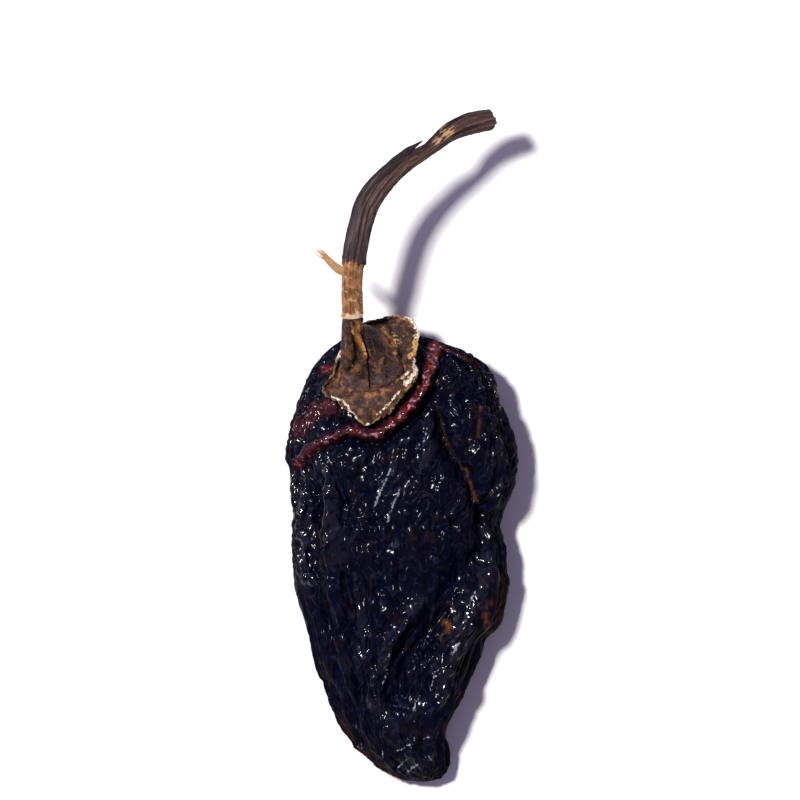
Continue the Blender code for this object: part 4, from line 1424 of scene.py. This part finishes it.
def stem_bark():
    made, place = new_material("stem_bark")
    tree = place.tree
    flow = value_of(tree, "flow", "Vector")
    grain = grain_in(flow, 0.55, 0.25)
    run = value_of(tree, "run")
    # painted light: the bark is lighter and warmer on one side of the stem, and its cords show paler there
    sunlit = ramp(noise_in(flow, 1.6) * 4.0 + part_of(flow, 0), 2.0, 3.6, 0.1, 0.8)
    bark = mixed(grain["Blotches"], BARK_DARK, BARK_LIGHT)
    bark = mixed(sunlit * 0.6, bark, BARK_SUNLIT)
    cord = ramp(value_of(tree, "cord"), 0.1, 1.1) * sunlit
    bark = mixed(cord * patches(place, 3.0, 2.0, 0.40, 0.60), bark, BARK_CORD)
    bark = mixed(grain["Streaks"] * 0.25, bark, BARK_STREAK)
    # painted shade: bark darker towards the calyx
    bark = mixed(ramp(run, 12.0, 34.0, 0.7, 0.0), bark, BARK_SHADED)
    wood = wood_colour(grain, place)
    colour = mixed(value_of(tree, "bark"), wood, bark)
    bare = spots((grain["Streaks"] - 0.5) * 0.8, place, BARE_SPOTS)
    colour = mixed(bare, colour, mixed(0.5, wood, BARE_SPOT))
    lip = (noise_in(place, 1.3) - 0.5) * 7.0 + run
    colour = mixed(ramp(lip, 1.1, 0.4), colour, LIP_PALE)
    colour = mixed(ramp(value_of(tree, "girth"), 0.9, 0.3), colour, BROKEN_END)
    return finished_stalk(made, colour, grain)


def bare_wood():
    made, place = new_material("bare_wood")
    grain = grain_in(value_of(place.tree, "flow", "Vector"), 0.4, 0.2)
    return finished_stalk(made, mixed(0.35, wood_colour(grain, place), SPLINTER_PALE), grain)


BARK = stem_bark()
WOOD = bare_wood()

# %% [markdown]
# The stem is pinched about two thirds of the way along and swells again towards its broken end, which is
# rounded off over the last few rings. One even tube would look like a wire.


# %% The stem
def make_stem():
    widths = list(np.interp(np.linspace(0, 1, STEM_POINTS), np.linspace(0, 1, len(STEM_RADII)), STEM_RADII))
    widths[-len(STEM_END):] = [widths[-len(STEM_END) - 1] * share for share in STEM_END]
    route = np.array(STEM_ROUTE)
    route[0] -= neck_frame()[0] * STEM_INSET
    line = lines_object("stem_ridged", [route], [widths], STEM_POINTS)
    return run_tree(STALK, line, BARK, bark_start=13.2, ridges=3.0, ridge_height=0.24, cords=6.0,
                    cord_height=0.14)


stem = make_stem()
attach(stem, "root")
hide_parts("stem")

# %% [markdown]
# Thin strips of bark lie along the stem, and one of them has come off at its end and stands out beside the
# pinched place. They could be painted on, but then none could lift. Each follows the stem's curve at its own
# angle.


# %% Strips of bark
STRIP_STEPS = 12
STRIP_GAP = 0.1  # how far a strip's line runs above the stem's skin
STRIP_OFF = (0.55, 1.05)  # shares of a strip between which it lifts off


def strip_line(start, end, degrees, lift):
    """A line along the stem's skin from one share of its length to another, which lifts off at its end."""
    even = even_shares(STEM_ROUTE, 200)
    places = np.linspace(start, end, STRIP_STEPS)
    shares = np.interp(places, np.linspace(0, 1, len(even)), even)
    centre = along(STEM_ROUTE, shares)
    ahead = unit(along(STEM_ROUTE, shares + 0.01) - along(STEM_ROUTE, shares - 0.01))
    side = unit(np.cross(ahead, (0.0, 0.0, 1.0)))
    up = np.cross(side, ahead)
    turn = math.radians(degrees)
    girth = np.interp(places, np.linspace(0, 1, len(STEM_RADII)), STEM_RADII)
    rise = girth + STRIP_GAP + lift * smoothstep(*STRIP_OFF, np.linspace(0, 1, STRIP_STEPS))
    return centre + (side * math.cos(turn) + up * math.sin(turn)) * rise[:, None]


def make_strips():
    routes = [strip_line(*strip[:-1]) for strip in BARK_STRIPS]
    girths = [[strip[-1] * share for share in STRIP_GIRTHS] for strip in BARK_STRIPS]
    line = lines_object("bark_strips", routes, girths, STRIP_POINTS)
    return run_tree(STALK, line, BARK, flatness=0.6, bark_start=-20.0, ridge_height=0.05, bark_thickness=0.0,
                    lip_height=0.0)


strips = make_strips()
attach(strips, "root")
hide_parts("stem")

# %% [markdown]
# Where the bark was torn, three golden splinters point away from the stem, and fine hairs of fibre stand off
# their ends. They are short lines with a seeded spread, swept by the same tree as the stem.


# %% Splinters and hairs
def hair_lines():
    chance = np.random.default_rng(SEED)
    routes = []
    for _ in range(HAIRS):
        source = SLIVER_ROUTES[chance.integers(len(SLIVER_ROUTES))]
        share = chance.uniform(0.25, 0.95)
        start = along(source, np.array([share]))[0] + chance.normal(0, 0.15, 3)
        ahead = unit(np.array(source[-1]) - np.array(source[0])) + chance.normal(0, 0.28, 3)
        length = chance.uniform(1.2, 2.6)
        bend = chance.normal(0, 0.25, 3)
        routes.append([start + ahead * length * f + bend * f * f for f in (0.0, 0.35, 0.7, 1.0)])
    return routes


def make_slivers():
    thick = lines_object("splinters", SLIVER_ROUTES, SLIVER_GIRTHS, SLIVER_POINTS)
    splinters = run_tree(STALK, thick, WOOD, flatness=0.42, ridges=3.0, ridge_height=0.10, cords=4.0,
                         cord_height=0.10, fibre_height=0.07, fibre_size=0.35, bark_start=NO_BARK,
                         lip_height=0.0)
    thin = lines_object("splinter_hairs", hair_lines(), [HAIR_GIRTHS] * HAIRS, HAIR_POINTS)
    hairs = run_tree(STALK, thin, WOOD, ridge_height=0.0, cord_height=0.0, fibre_height=0.0,
                     bark_start=NO_BARK, lip_height=0.0)
    return splinters, hairs


for piece in make_slivers():
    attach(piece, "root")
    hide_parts("bark_sliver")

# %% [markdown]
# ## The ground
# The photograph's ground is plain white, so a broad matt sheet is enough.

# %% Floor
FLOOR_HALF = 3.0
GROUND_WHITE = (0.86, 0.86, 0.87, 1)


def add_floor():
    mesh = bpy.data.meshes.new("floor")
    corners = [(x * FLOOR_HALF, y * FLOOR_HALF, 0) for x, y in ((-1, -1), (1, -1), (1, 1), (-1, 1))]
    mesh.from_pydata(corners, [], [(0, 1, 2, 3)])
    obj = show("floor", mesh)
    made, _ = new_material("white_ground")
    mesh.materials.append(finished(made, {"Base Color": GROUND_WHITE, "Roughness": 0.9}))


add_floor()
